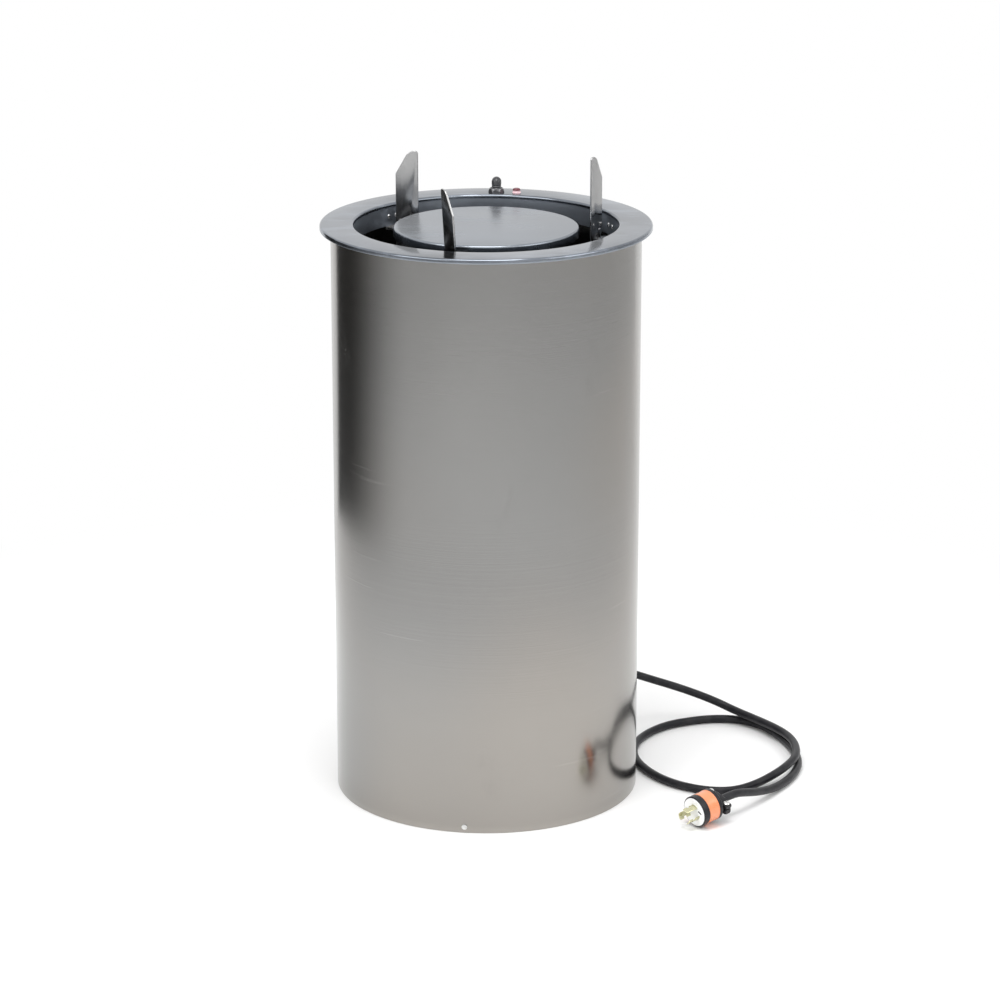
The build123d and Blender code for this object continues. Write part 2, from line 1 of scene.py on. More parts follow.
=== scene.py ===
"""Dresses a drop-in heated plate dispenser's packed solids and sets them in a pale studio."""

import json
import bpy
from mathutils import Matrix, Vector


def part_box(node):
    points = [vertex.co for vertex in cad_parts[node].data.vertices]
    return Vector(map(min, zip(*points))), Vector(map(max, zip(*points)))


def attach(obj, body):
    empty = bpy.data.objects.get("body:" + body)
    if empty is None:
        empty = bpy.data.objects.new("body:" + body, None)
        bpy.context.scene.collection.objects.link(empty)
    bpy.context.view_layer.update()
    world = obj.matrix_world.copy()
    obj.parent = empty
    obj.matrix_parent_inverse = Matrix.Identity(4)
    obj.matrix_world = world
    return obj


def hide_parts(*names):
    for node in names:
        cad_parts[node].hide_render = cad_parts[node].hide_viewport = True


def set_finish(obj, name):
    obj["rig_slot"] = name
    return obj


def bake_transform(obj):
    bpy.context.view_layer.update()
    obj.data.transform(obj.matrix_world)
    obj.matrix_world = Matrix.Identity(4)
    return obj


bl_info = {
    "name": "Drop-in plate dispenser",
    "version": (1, 0, 0),
    "blender": (4, 5, 0),
    "location": "View3D > Sidebar > Dispenser",
    "description": "Dresses the plate dispenser's solids and sets the studio round them",
    "category": "Object",
}

from math import cos, hypot, pi, radians, sin, tau

import bpy
import numpy as np
from bpy.props import FloatProperty, FloatVectorProperty, IntProperty, PointerProperty
from bpy.types import Operator, Panel, PropertyGroup
from mathutils import Vector

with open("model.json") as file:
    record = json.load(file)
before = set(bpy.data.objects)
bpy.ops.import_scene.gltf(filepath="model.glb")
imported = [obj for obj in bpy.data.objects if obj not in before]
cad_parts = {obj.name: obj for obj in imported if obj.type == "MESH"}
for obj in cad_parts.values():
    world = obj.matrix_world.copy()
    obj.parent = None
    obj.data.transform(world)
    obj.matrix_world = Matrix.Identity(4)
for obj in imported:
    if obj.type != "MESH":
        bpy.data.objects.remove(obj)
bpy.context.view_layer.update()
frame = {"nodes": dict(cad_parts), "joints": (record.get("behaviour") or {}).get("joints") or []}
JOINTS = {joint["name"]: joint for joint in frame["joints"]}
MM = 0.001

# The shell and the flange that stands on it; from here to the cord's route, sizes are in millimetres
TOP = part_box("top_flange")[1].z / MM
SHELL_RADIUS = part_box("outer_shell")[1].x / MM
FLANGE_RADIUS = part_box("top_flange")[1].x / MM

# Flange and carrier disc: their sheets, the collar's radius and depth, and the depth of the flange's lip
FLANGE_SHEET = 1.5
DISC_SHEET = 1.2
COLLAR_RADIUS = 172.0
COLLAR_DEPTH = 30.0
LIP_DEPTH = 6.0

# Plate guides: where each stands round the well, how it is turned, how its tip leans, and its pins
GUIDE_PLACES = {"front": -111.5, "right": 12.5, "left": 130.0}
GUIDE_TURN = 48.0
GUIDE_LEANS = {"front": 3.8, "right": 0.0, "left": 0.0}
BEND_DEPTH = 15.0
PIVOT_OFFSET = 6.3
PIN_RADIUS = 3.0
PIN_SPANS = ((8.0, 40.0), (721.0, 750.0))

# A guide's sheet: its thickness and rounded edge, its two sides, its foot, and the notch at the bracket
GUIDE_SHEET = 2.5
GUIDE_EDGE = 0.8
TALL_SIDE = -23.0
SHORT_SIDE = 7.0
GUIDE_FOOT = 22.0
NOTCH_SIDE = -10.0
NOTCH_SPAN = (729.0, 742.0)
SLOPE_DROP = 30.7

# Springs: their rails' places and circle, the offset to each side of a rail, and the hooks' lengths
RAIL_PLACES = {"front": -50.0, "back": 70.0, "left": 190.0}
RAIL_CIRCLE = 187.0
SPRING_OFFSET = 18.0

# Screws: where the base screws are, a head's slot, and the bracket rivets' height and offset
BASE_SCREW_ANGLES = (-98.3, 21.7, 141.7)
BASE_SCREW_HEIGHT = 8.0
SCREW_SLOT_WIDTH = 1.0
SCREW_SLOT_DEPTH = 0.8
RIVET_HEIGHT = 752.0
RIVET_SIDE = 7.0

# Strain relief: its angle round the shell, its height, and how far out its nose is
RELIEF_ANGLE = 45.0
RELIEF_HEIGHT = 88.0
RELIEF_NOSE = 226.0

# Switch and pilot lamp; the nut's height and half width; the height at which the boot's dome starts
SWITCH_CIRCLE = 187.5
SWITCH_ANGLE = 85.8
LAMP_CIRCLE = 188.8
LAMP_ANGLE = 77.5
LEVER_LEAN = 12.0
NUT_HEIGHT = 6.0
NUT_FLATS = 9.25
DOME_START = 14.4

# The plug along its own axis, back from the face; its blades, its small slot, and its clamp
PLUG_RADIUS = 21.0
PLUG_REAR = -49.0
FACE_RADIUS = 19.3
PLUG_BLADE_ANGLES = (75.0, 195.0, 315.0)
BLADE_CIRCLE = 10.0
BLADE_LEVELS = (-1.0, 3.0, 5.9, 6.1, 8.0, 10.4, 10.6, 13.0, 15.4, 16.2, 16.8, 17.2, 17.4, 17.5)
BLADE_HALF = 5.0
BLADE_CORNER = 2.2
KEY_ANGLE = 160.0
SLOT_X = 11.4
SLOT_Y = 2.3
SLOT_LEAN = radians(-26)
BAND_SPAN = (-28.0, -10.5)
CLAMP_ROLL = radians(-16.6)
CLAMP_SIDE = 15.4
CLAMP_MIDDLE = -43.5
CLAMP_REACH = 20.5
CLAMP_DEPTH = 5.6

# A turned profile starts this far from its axis, where a small face closes it
POLE = 0.05
# The cord's route in millimetres, from the strain relief to the plug's clamp
CORD_ROUTE = (
    (159.81, 159.81, 88), (186, 186, 88), (226, 201, 69.5), (276, 218, 47.8), (320, 221, 29.5),
    (351, 205, 19), (378.5, 175.5, 17), (399, 147, 17), (415, 119, 17), (424, 89, 17),
    (425.5, 55, 17), (421, 27, 16.8), (408, -1, 16), (390, -25, 13), (362, -49, 7.5), (330, -68, 5.5),
    (291, -66, 5.5), (248, -39, 5.5), (218, 5, 5.5), (200, 63, 5.5), (208, 126, 5.5),
    (247, 182, 5.5), (300, 206, 5.5), (334, 210, 5.5), (361, 204, 5.5), (384, 186, 5.5),
    (400, 161, 5.5), (415, 123, 5.5), (426, 77, 5.5), (427, 32, 5.5), (416, -9, 5.5), (398, -44, 6),
    (379, -73, 9.5), (360, -98, 16), (343.7, -119, 23.6), (326.9, -137.1, 29.85), (308.4, -152.1, 26.95),
)

# The camera stands where the photograph was taken from
CAMERA_PLACE = (0.0, -4.5019, 1.7621)
CAMERA_PITCH = 16.926
CAMERA_YAW = 0.2277

# The studio, in metres: the floor's rings, its drop, and where it fades into the white
FLOOR_RINGS = (0.05, 0.6, 1.4, 2.8)
FLOOR_DROP = 0.0004
FLOOR_FADE = (0.55, 1.3)

# The studio's grey cards: where they start and end, and how high they lie and stand
CARD_START = 1.33
CARD_REACH = 2.8
CARD_LIFT = 0.003
CARD_FRONT_HEIGHT = 0.6
CARD_SIDE_HEIGHT = 1.7

# The cards' span round the dispenser and the half span of the low front, in degrees
CARD_SPAN = (-232, 52)
CARD_FRONT_SPAN = 35

# The lamps: each one's place and width, and the setting that holds its power
LAMPS = {
    "key_lamp": ((-2.2, -2.0, 3.0), 2.4, "key"),
    "fill_lamp": ((2.6, -1.2, 2.2), 2.0, "fill"),
    "top_lamp": ((0.0, -0.65, 2.95), 1.2, "overhead"),
}
LAMP_AIM = Vector((0, 0, 0.45))


def colour_of(label, thing, default):
    """A colour that a user can change."""
    return FloatVectorProperty(name=label, description=f"Colour of {thing}",
                               subtype="COLOR", size=3, default=default)


def length_of(label, description, low, high, default):
    """A length in metres that a user can change."""
    return FloatProperty(name=label, description=description,
                         min=low, max=high, unit="LENGTH", default=default)


def power_of(label, thing, default):
    """A lamp's power that a user can change."""
    return FloatProperty(name=label, description=f"Power of {thing}",
                         min=0.0, max=500.0, unit="POWER", default=default)


class SteelLook(PropertyGroup):
    """Colours and grain of the sheet steel."""

    shell: colour_of("Shell", "the outer shell's sheet", (0.327, 0.318, 0.307))
    flange: colour_of("Flange", "the flange and collar", (0.195, 0.214, 0.243))
    disc: colour_of("Disc", "the carrier disc", (0.260, 0.283, 0.315))
    blade: colour_of("Guides", "the plate guides", (0.48, 0.48, 0.48))
    inner: colour_of("Inner steel", "the brackets, legs and hangers", (0.40, 0.40, 0.40))
    grain: FloatProperty(name="Grain", description="Depth of the brushed grain",
                         min=0.0, max=1.0, subtype="FACTOR", default=0.35)


class SpringSizes(PropertyGroup):
    """Sizes of the carrier's extension springs."""

    wire: length_of("Wire", "Thickness of the spring wire", 0.0005, 0.003, 0.0016)
    radius: length_of("Coil radius", "Outer radius of the coils", 0.003, 0.008, 0.006)
    turns: IntProperty(name="Turns", description="Turns in each spring", min=10, max=80, default=56)


class SwitchLook(PropertyGroup):
    """Sizes and colours of the toggle switch and the pilot lamp."""

    boot_radius: length_of("Boot radius", "Radius of the rubber boot's dome", 0.004, 0.008, 0.0065)
    boot: colour_of("Boot", "the rubber boot", (0.035, 0.036, 0.040))
    lens: colour_of("Lens", "the pilot lamp's lens", (0.11, 0.002, 0.014))


class CordSizes(PropertyGroup):
    """Sizes and colour of the power cord."""

    diameter: length_of("Diameter", "Outer diameter of the cord", 0.006, 0.014, 0.011)
    length: length_of("Length", "Length from the strain relief to the plug", 1.0, 3.0, 1.42)
    jacket: colour_of("Jacket", "the cord's jacket", (0.008, 0.008, 0.011))


class PlugLook(PropertyGroup):
    """Colours of the locking plug."""

    casing: colour_of("Casing", "the plug's black casing", (0.011, 0.011, 0.014))
    band: colour_of("Band", "the plug's bare band", (0.90, 0.29, 0.12))
    face: colour_of("Face", "the nylon face", (0.95, 0.96, 0.96))
    blades: colour_of("Blades", "the brass blades", (0.68, 0.66, 0.44))


class StudioSetup(PropertyGroup):
    """The lens, the floor, the cards and the lamps."""

    lens: FloatProperty(name="Lens", description="Focal length on a 36 mm frame",
                        min=20.0, max=300.0, subtype="DISTANCE_CAMERA", default=127.58)
    floor: colour_of("Floor", "the studio floor", (0.94, 0.94, 0.94))
    room: colour_of("Cards", "the cards in front and at the right", (0.76, 0.76, 0.76))
    dark_side: colour_of("Dark card", "the cards at the left, behind", (0.08, 0.08, 0.08))
    key: power_of("Key lamp", "the large lamp at the upper left", 46.0)
    fill: power_of("Fill lamp", "the lamp at the right", 22.0)
    overhead: power_of("Top lamp", "the lamp overhead", 26.0)


# Sums


def polar(radius, angle, height):
    """Points at a radius and an angle round the Z axis, at a height."""
    x, y = radius * np.cos(angle), radius * np.sin(angle)
    return np.stack([x, y, height + 0 * x], axis=-1)


def turned(x, y, angle):
    """A plane's points turned about its origin."""
    return x * cos(angle) - y * sin(angle), x * sin(angle) + y * cos(angle)


def swing_from(angle, middle):
    """How far an angle is to either side of a middle, which is in degrees."""
    return (angle - radians(middle) + pi) % tau - pi


def ramp(value, width):
    """The value over the width, held between 0 and 1."""
    return np.clip(value / width, 0, 1)


def ease(share):
    """Rises from 0 to 1 and is level at both: the share's square times three less twice the share."""
    return share * share * (3 - 2 * share)


def squarish(turn, power):
    """Across and up on a circle pushed out to its corners: cosine and sine to a power, signs kept."""
    return [np.sign(part) * np.abs(part) ** power for part in (np.cos(turn), np.sin(turn))]


# Surfaces


def rounded(corners, closed=False, steps=7):
    """Points of an outline: an arc that touches both sides of each (across, up, radius) corner."""
    spots = np.array([corner[:2] for corner in corners], float)
    radius = np.array([corner[2] for corner in corners], float)
    before = np.roll(spots, 1, axis=0) - spots
    after = np.roll(spots, -1, axis=0) - spots
    before /= np.linalg.norm(before, axis=1, keepdims=True)
    after /= np.linalg.norm(after, axis=1, keepdims=True)
    half = np.arccos(np.clip((before * after).sum(1), -1, 1)) / 2
    bisector = before + after
    bisector /= np.linalg.norm(bisector, axis=1, keepdims=True) + 1e-12
    centre = spots + bisector * (radius / np.sin(half))[:, None]
    reach = (radius / np.tan(half))[:, None]
    start = spots + before * reach - centre
    end = spots + after * reach - centre
    swing = (pi - 2 * half)[:, None, None]
    share = np.linspace(0, 1, steps)[None, :, None]
    arc = np.sin((1 - share) * swing) * start[:, None] + np.sin(share * swing) * end[:, None]
    arc /= np.sin(swing)
    points = np.where(radius[:, None, None] > 0, centre[:, None] + arc, spots[:, None])
    if not closed:
        points[0] = spots[0]
        points[-1] = spots[-1]
    points = points.reshape(-1, 2)
    gap = np.linalg.norm(np.roll(points, -1, axis=0) - points, axis=1)
    keep = gap > 1e-6
    if not closed:
        keep[-1] = True
    return points[keep]


def skin(points, rows_join=False, columns_join=False, ends=False):
    """Shape from a grid of points[row, column, xyz]: faces between neighbours, turned outwards."""
    rows, columns = points.shape[:2]
    row = np.arange(rows if rows_join else rows - 1)
    column = np.arange(columns if columns_join else columns - 1)
    row, column = (grid.ravel() for grid in np.meshgrid(row, column, indexing="ij"))
    below = (row + 1) % rows
    beside = (column + 1) % columns
    faces = np.stack([row * columns + column, row * columns + beside,
                      below * columns + beside, below * columns + column], axis=1).tolist()
    if ends:
        ring = np.arange(columns)
        faces.append(ring[::-1].tolist())
        faces.append((ring + (rows - 1) * columns).tolist())
    return outward(points.reshape(-1, 3), faces)


def outward(points, faces):
    """The same shape, with its faces turned over where the volume that they enclose is negative."""
    volume = 0.0
    for step in range(1, max(len(face) for face in faces) - 1):
        fan = [face for face in faces if len(face) > step + 1]
        a, b, c = (points[[face[i] for face in fan]] for i in (0, step, step + 1))
        volume += (a * np.cross(b, c)).sum()
    if volume < 0:
        faces = [face[::-1] for face in faces]
    return points, faces


def spun(profile, sides, ring=False):
    """A (radius, height) profile carried round the Z axis; a ring's profile is closed on itself."""
    angle = np.linspace(0, tau, sides, endpoint=False)
    points = polar(profile[:, :1], angle, profile[:, 1:])
    return skin(points, rows_join=ring, columns_join=True, ends=not ring)


def pin(radius, span, edges, sides=24, pole=POLE):
    """Round pin along the Z axis, with its foot's and its head's edges rounded."""
    foot, head = span
    return spun(rounded([(pole, foot, 0), (radius, foot, edges[0]), (radius, head, edges[1]),
                         (pole, head, 0)]), sides)


def plate(outline, sheet, edge):
    """Flat plate in X and Z: its closed outline, drawn in by a quarter circle at both faces."""
    side = np.roll(outline, -1, axis=0) - np.roll(outline, 1, axis=0)
    side /= np.linalg.norm(side, axis=1, keepdims=True)
    turn = np.sign(np.cross(outline, np.roll(outline, -1, axis=0)).sum())
    inward = turn * np.stack([-side[:, 1], side[:, 0]], axis=1)
    swing = np.linspace(0, pi / 2, 5)
    drawn = edge * (1 - np.concatenate([np.sin(swing), np.sin(swing[::-1])]))
    flank = sheet / 2 - edge
    across = np.concatenate([-flank - edge * np.cos(swing), flank + edge * np.cos(swing[::-1])])
    flat = outline[None] + drawn[:, None, None] * inward[None]
    points = np.stack([flat[..., 0], across[:, None] + 0 * flat[..., 0], flat[..., 1]], axis=-1)
    return skin(points, columns_join=True, ends=True)


def tube(line, radius, sides):
    """Round tube along a line of points: a circle in the plane square to the line at each point."""
    ahead = np.gradient(line, axis=0)
    ahead /= np.linalg.norm(ahead, axis=1, keepdims=True)
    helper = np.where(np.abs(ahead[:, 2:]) < 0.9, [[0.0, 0.0, 1.0]], [[1.0, 0.0, 0.0]])
    across = np.cross(helper, ahead)
    across /= np.linalg.norm(across, axis=1, keepdims=True)
    over = np.cross(ahead, across)
    angle = np.linspace(0, tau, sides, endpoint=False)[:, None]
    ring = across[:, None] * np.cos(angle) + over[:, None] * np.sin(angle)
    return skin(line[:, None] + radius * ring, columns_join=True, ends=True)


def put(shape, origin, x_axis, y_axis, z_axis):
    """The shape, drawn in millimetres about its own origin, in its place in the frame."""
    points, faces = shape
    axes = np.array([x_axis, y_axis, z_axis], float)
    return (points @ axes + np.array(origin, float)) * MM, faces


def upright(shape, circle=0.0, angle=0.0):
    """The shape stood on the circle at an angle round the dispenser, turned by that angle."""
    out = np.array([cos(radians(angle)), sin(radians(angle)), 0.0])
    return put(shape, out * circle, out, (-out[1], out[0], 0), (0, 0, 1))


def sideways(shape, circle, angle, height, side=0.0):
    """The shape with its own Z axis pointing out from the dispenser's axis."""
    out = np.array([cos(radians(angle)), sin(radians(angle)), 0.0])
    along = np.array([-out[1], out[0], 0.0])
    origin = out * circle + along * side + np.array([0, 0, height])
    return put(shape, origin, along, (0, 0, 1), out)


def make_piece(name, shapes, finish, body, slot, replaced, sharp=35.0):
    """One object from several shapes, smooth but for its corners, on its body and with its finish."""
    points, faces, count = [], [], 0
    for corners, sides in shapes:
        points.append(corners)
        faces.extend([[index + count for index in side] for side in sides])
        count += len(corners)
    mesh = bpy.data.meshes.new(name)
    mesh.from_pydata(np.concatenate(points), [], faces)
    mesh.polygons.foreach_set("use_smooth", np.ones(len(mesh.polygons), bool))
    mesh.set_sharp_from_angle(angle=radians(sharp))
    mesh.update()
    piece = bpy.data.objects.new(name, mesh)
    bpy.context.scene.collection.objects.link(piece)
    mesh.materials.append(look(finish))
    if body:
        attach(piece, body)
    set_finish(piece, slot)
    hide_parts(*replaced)
    return piece


# Finishes


class Wire:
    """A node socket that takes part in Python sums; each operation adds its Math node."""

    def __init__(self, board, socket):
        self.board = board
        self.socket = socket

    def __add__(self, other):
        return self.board.math("ADD", self, other)

    def __sub__(self, other):
        return self.board.math("SUBTRACT", self, other)

    def __rsub__(self, other):
        return self.board.math("SUBTRACT", other, self)

    def __mul__(self, other):
        return self.board.math("MULTIPLY", self, other)

    def __truediv__(self, other):
        return self.board.math("DIVIDE", self, other)

    __radd__ = __add__
    __rmul__ = __mul__

    def rise(self, low, high):
        """0 below low, 1 above high, smooth between."""
        return self.board.add("ShaderNodeMapRange", {"interpolation_type": "SMOOTHSTEP"},
                              {0: self, 1: low, 2: high, 3: 0.0, 4: 1.0})


class Board:
    """One node tree; add() makes every node in it."""

    def __init__(self, tree):
        self.tree = tree
        tree.nodes.clear()

    def add(self, kind, settings=None, sockets=None, out=0):
        node = self.tree.nodes.new(kind)
        for name, value in (settings or {}).items():
            setattr(node, name, value)
        for key, value in (sockets or {}).items():
            if isinstance(value, Wire):
                self.tree.links.new(value.socket, node.inputs[key])
            else:
                node.inputs[key].default_value = value
        return Wire(self, node.outputs[out]) if node.outputs else None

    def math(self, operation, *values):
        return self.add("ShaderNodeMath", {"operation": operation}, dict(enumerate(values)))

    def mix(self, share, first, second):
        """Colour between two colours."""
        pair = [value if isinstance(value, Wire) else (*value, 1.0) for value in (first, second)]
        return self.add("ShaderNodeMix", {"data_type": "RGBA"},
                        {0: share, 6: pair[0], 7: pair[1]}, out=2)

    def stretched(self, scale):
        """Object coordinates, scaled along each axis."""
        place = self.add("ShaderNodeTexCoord", out=3)
        return self.add("ShaderNodeMapping", {"vector_type": "POINT"}, {0: place, 3: scale})

    def noise(self, scale, detail=2.0, roughness=0.5):
        """Cloudy value about 0.5; scale gives the patches along X, Y and Z in one metre."""
        return self.add("ShaderNodeTexNoise", {}, {
            "Vector": self.stretched(scale), "Scale": 1.0, "Detail": detail, "Roughness": roughness})

    def position(self, out=3):
        """Object coordinates as three values, in metres; output 0 is the surroundings' direction."""
        place = self.add("ShaderNodeTexCoord", out=out)
        split = self.add("ShaderNodeSeparateXYZ", {}, {0: place})
        return [Wire(self, socket) for socket in split.socket.node.outputs]

    def from_axis(self, x, y):
        """Distance from the Z axis."""
        return self.math("SQRT", x * x + y * y)

    def bump(self, height, distance):
        return self.add("ShaderNodeBump", {}, {"Strength": 1.0, "Distance": distance, "Height": height})

    def surface(self, **sockets):
        """Principled surface with these sockets, joined to the output."""
        named = {name.replace("_", " "): value for name, value in sockets.items()}
        colour = named["Base Color"]
        if not isinstance(colour, Wire):
            named["Base Color"] = (*colour, 1.0)
        shader = self.add("ShaderNodeBsdfPrincipled", {}, named)
        self.add("ShaderNodeOutputMaterial", {}, {0: shader})


def new_look(name):
    finish = bpy.data.materials.new(name)
    finish.use_nodes = True
    return finish, Board(finish.node_tree)


def shade(colour, factor):
    return tuple(channel * factor for channel in colour)


def brushed(name, colour, roughness, grain):
    """Brushed steel: fine lines along one direction, cloudy tone and hand smudges that dull it."""
    finish, board = new_look(name)
    depth = 0.00006 * bpy.context.scene.dispenser_steel.grain
    lines = board.noise(grain, detail=3.0)
    clouds = board.noise((7, 7, 5))
    smudges = board.noise((22, 22, 16), detail=4.0, roughness=0.6).rise(0.55, 0.75)
    tone = 0.94 + (lines - 0.5) * 0.12 + (clouds - 0.5) * 0.16
    base = board.mix(tone.rise(0.7, 1.15), shade(colour, 0.80), shade(colour, 1.14))
    board.surface(
        Base_Color=board.mix(smudges * 0.25, base, shade(colour, 0.82)), Metallic=1.0,
        Roughness=roughness + (lines - 0.5) * 0.10 + smudges * 0.10, Normal=board.bump(lines, depth))
    return finish


def shell_steel():
    """The shell's sheet: satin steel with round-about grain, tinted clouds, scratches and scuffs."""
    finish, board = new_look("shell_steel")
    colour = bpy.context.scene.dispenser_steel.shell
    height = board.position()[2]
    lines = board.noise((3, 3, 900), detail=3.0)
    clouds = board.noise((3.2, 3.2, 1.6), detail=1.5)
    tint = board.noise((2.6, 2.6, 2.1), detail=1.0)
    scuffs = board.noise((16, 16, 7), detail=5.0, roughness=0.65).rise(0.60, 0.78)
    scratches = board.noise((5, 5, 300), detail=1.0).rise(0.74, 0.78)
    # The bottom 12 mm of the shell is made lighter.
    bottom_band = 1.0 - height.rise(0.0, 0.012)
    light = 0.92 + (clouds - 0.5) * 0.18 + (lines - 0.5) * 0.04 + scratches * 0.07 + bottom_band * 0.10
    warm = board.mix(tint.rise(0.35, 0.65), (0.98, 1.0, 1.01), (1.03, 1.0, 0.96))
    base = board.mix(light.rise(0.7, 1.2), shade(colour, 0.78), shade(colour, 1.24))
    tinted = board.add("ShaderNodeMix", {"data_type": "RGBA", "blend_type": "MULTIPLY"},
                       {0: 1.0, 6: base, 7: warm}, out=2)
    board.surface(
        Base_Color=board.mix(scuffs * 0.16, tinted, shade(colour, 0.76)), Metallic=1.0,
        Roughness=0.18 + (lines - 0.5) * 0.06 + scuffs * 0.10 + scratches * 0.05,
        Normal=board.bump(lines + scratches * 0.6, 0.00003))
    return finish


def flange_steel():
    """The flange: cool, half-bright steel with polishing marks and drawn-out pale streaks; its collar is
    duller, and painted lighter for light on its wall.
    """
    finish, board = new_look("flange_steel")
    colour = bpy.context.scene.dispenser_steel.flange
    marks = board.noise((170, 170, 170), detail=4.0)
    streaks = board.noise((14, 34, 30), detail=3.0, roughness=0.55).rise(0.52, 0.70)
    clouds = board.noise((9, 9, 9))
    # Painted light: the collar's wall below the top is made lighter, standing in for light falling on it
    # inside the well; the same mask also makes it duller.
    collar_dull_and_painted_light = 1.0 - board.position()[2].rise((TOP - 7) * MM, (TOP - 3) * MM)
    light = 0.90 + (clouds - 0.5) * 0.45 + (marks - 0.5) * 0.06 + streaks * 0.13 + collar_dull_and_painted_light * 0.5
    board.surface(
        Base_Color=board.mix(light.rise(0.7, 1.25), shade(colour, 0.62), shade(colour, 1.75)),
        Metallic=1.0, Roughness=0.12 + (marks - 0.5) * 0.05 + streaks * 0.10 + collar_dull_and_painted_light * 0.30,
        Normal=board.bump(marks, 0.000012))
    return finish


def disc_steel():
    """The carrier disc: satin steel with soft brushed lines in one direction and rubbed patches."""
    finish, board = new_look("disc_steel")
    colour = bpy.context.scene.dispenser_steel.disc
    lines = board.noise((18, 420, 20), detail=4.0)
    rubbed = board.noise((10, 26, 12), detail=3.0).rise(0.50, 0.72)
    clouds = board.noise((6, 8, 6), detail=1.5)
    light = 0.92 + (lines - 0.5) * 0.12 + (clouds - 0.5) * 0.40 + rubbed * 0.10
    board.surface(
        Base_Color=board.mix(light.rise(0.7, 1.2), shade(colour, 0.74), shade(colour, 1.32)),
        Metallic=1.0, Roughness=0.24 + (lines - 0.5) * 0.08 + rubbed * 0.08,
        Normal=board.bump(lines, 0.00002))
    return finish


def polished(name, colour, roughness):
    """Plated or ground metal with a faint haze."""
    finish, board = new_look(name)
    haze = board.noise((60, 60, 60), detail=3.0)
    board.surface(
        Base_Color=board.mix(haze, shade(colour, 0.90), shade(colour, 1.06)), Metallic=1.0,
        Roughness=roughness + (haze - 0.5) * 0.16, Normal=board.bump(haze, 0.00001))
    return finish


def moulded(name, colour, roughness, worn=0.35, coat=0.0, gloss=0.5):
    """Moulded plastic or rubber: fine texture, and a paler bloom in patches."""
    finish, board = new_look(name)
    pores = board.noise((1500, 1500, 1500))
    patches = board.noise((55, 55, 55), detail=3.0).rise(0.40, 0.72)
    paler = tuple(channel + (1 - channel) * 0.05 for channel in colour)
    board.surface(
        Base_Color=board.mix(patches * worn, colour, paler),
        Roughness=roughness + (pores - 0.5) * 0.12 + patches * 0.06, Coat_Weight=coat,
        Coat_Roughness=0.18, Specular_IOR_Level=gloss, Normal=board.bump(pores, 0.00002))
    return finish


def lens_red():
    """Red lens: dark red at the crown, with a painted pale pink highlight towards its foot."""
    finish, board = new_look("lens_red")
    colour = bpy.context.scene.dispenser_switch.lens
    # Painted highlight: the lens runs from dark red at its crown to pale pink lower down, where a
    # highlight falls.
    crown_over_painted_highlight = board.position()[2].rise((TOP + 2.2) * MM, (TOP + 4.2) * MM)
    grain = board.noise((900, 900, 900))
    board.surface(
        # The pale pink colour is the painted highlight.
        Base_Color=board.mix(crown_over_painted_highlight + (grain - 0.5) * 0.1, (0.95, 0.66, 0.70), colour),
        Roughness=0.16 + grain * 0.06, IOR=1.49, Coat_Weight=0.2, Coat_Roughness=0.08)
    return finish


def element_sheath():
    """Oxidised element sheath: blue-black with straw patches."""
    finish, board = new_look("element_sheath")
    patches = board.noise((45, 45, 45), detail=3.0).rise(0.35, 0.7)
    board.surface(
        Base_Color=board.mix(patches, (0.085, 0.075, 0.085), (0.20, 0.15, 0.11)), Metallic=0.75,
        Roughness=0.42 + patches * 0.2)
    return finish


LOOKS = {}


def look(name):
    """The finish of that name, made the first time it is asked for."""
    if name not in LOOKS:
        scene = bpy.context.scene
        steel, plug = scene.dispenser_steel, scene.dispenser_plug
        boot, jacket = scene.dispenser_switch.boot, scene.dispenser_cord.jacket
        makers = {
            "shell": shell_steel,
            "flange": flange_steel,
            "disc": disc_steel,
            "lens": lens_red,
            "element": element_sheath,
            "blade": lambda: brushed("guide_steel", steel.blade, 0.18, (380, 380, 12)),
            "inner": lambda: brushed("inner_steel", steel.inner, 0.34, (260, 260, 30)),
            "pan": lambda: brushed("pan_steel", steel.shell, 0.42, (14, 320, 40)),
            "dish": lambda: brushed("aluminised_dish", (0.62, 0.62, 0.61), 0.36, (120, 120, 120)),
            "rod": lambda: polished("ground_rod", (0.66, 0.66, 0.67), 0.10),
            "zinc": lambda: polished("zinc_plate", (0.74, 0.74, 0.73), 0.20),
            "dull": lambda: polished("dulled_nut", (0.22, 0.22, 0.23), 0.34),
            "spring": lambda: polished("spring_wire", (0.50, 0.50, 0.50), 0.26),
            "copper": lambda: polished("copper_tube", (0.72, 0.40, 0.27), 0.28),
            "brass": lambda: polished("plug_brass", plug.blades, 0.22),
            "ceramic": lambda: moulded("glazed_ceramic", (0.80, 0.77, 0.70), 0.22, coat=0.4),
            "nylon": lambda: moulded("nylon", (0.80, 0.80, 0.76), 0.38),
            "phenolic": lambda: moulded("phenolic", (0.028, 0.027, 0.026), 0.36),
            "rubber": lambda: moulded("boot_rubber", boot, 0.28, worn=0.5),
            "jacket": lambda: moulded("cord_jacket", jacket, 0.36, worn=0.3, gloss=0.28),
            "casing": lambda: moulded("plug_casing", plug.casing, 0.33, worn=0.3, gloss=0.3),
            "band": lambda: moulded("plug_band", plug.band, 0.26, coat=0.6),
            "face": lambda: moulded("plug_face", plug.face, 0.34, coat=0.2),
        }
        LOOKS[name] = makers[name]()
    return LOOKS[name]


def each(stem, places):
    """The nodes of one stem, one at each place."""
    return [f"{stem}_{place}" for place in places]


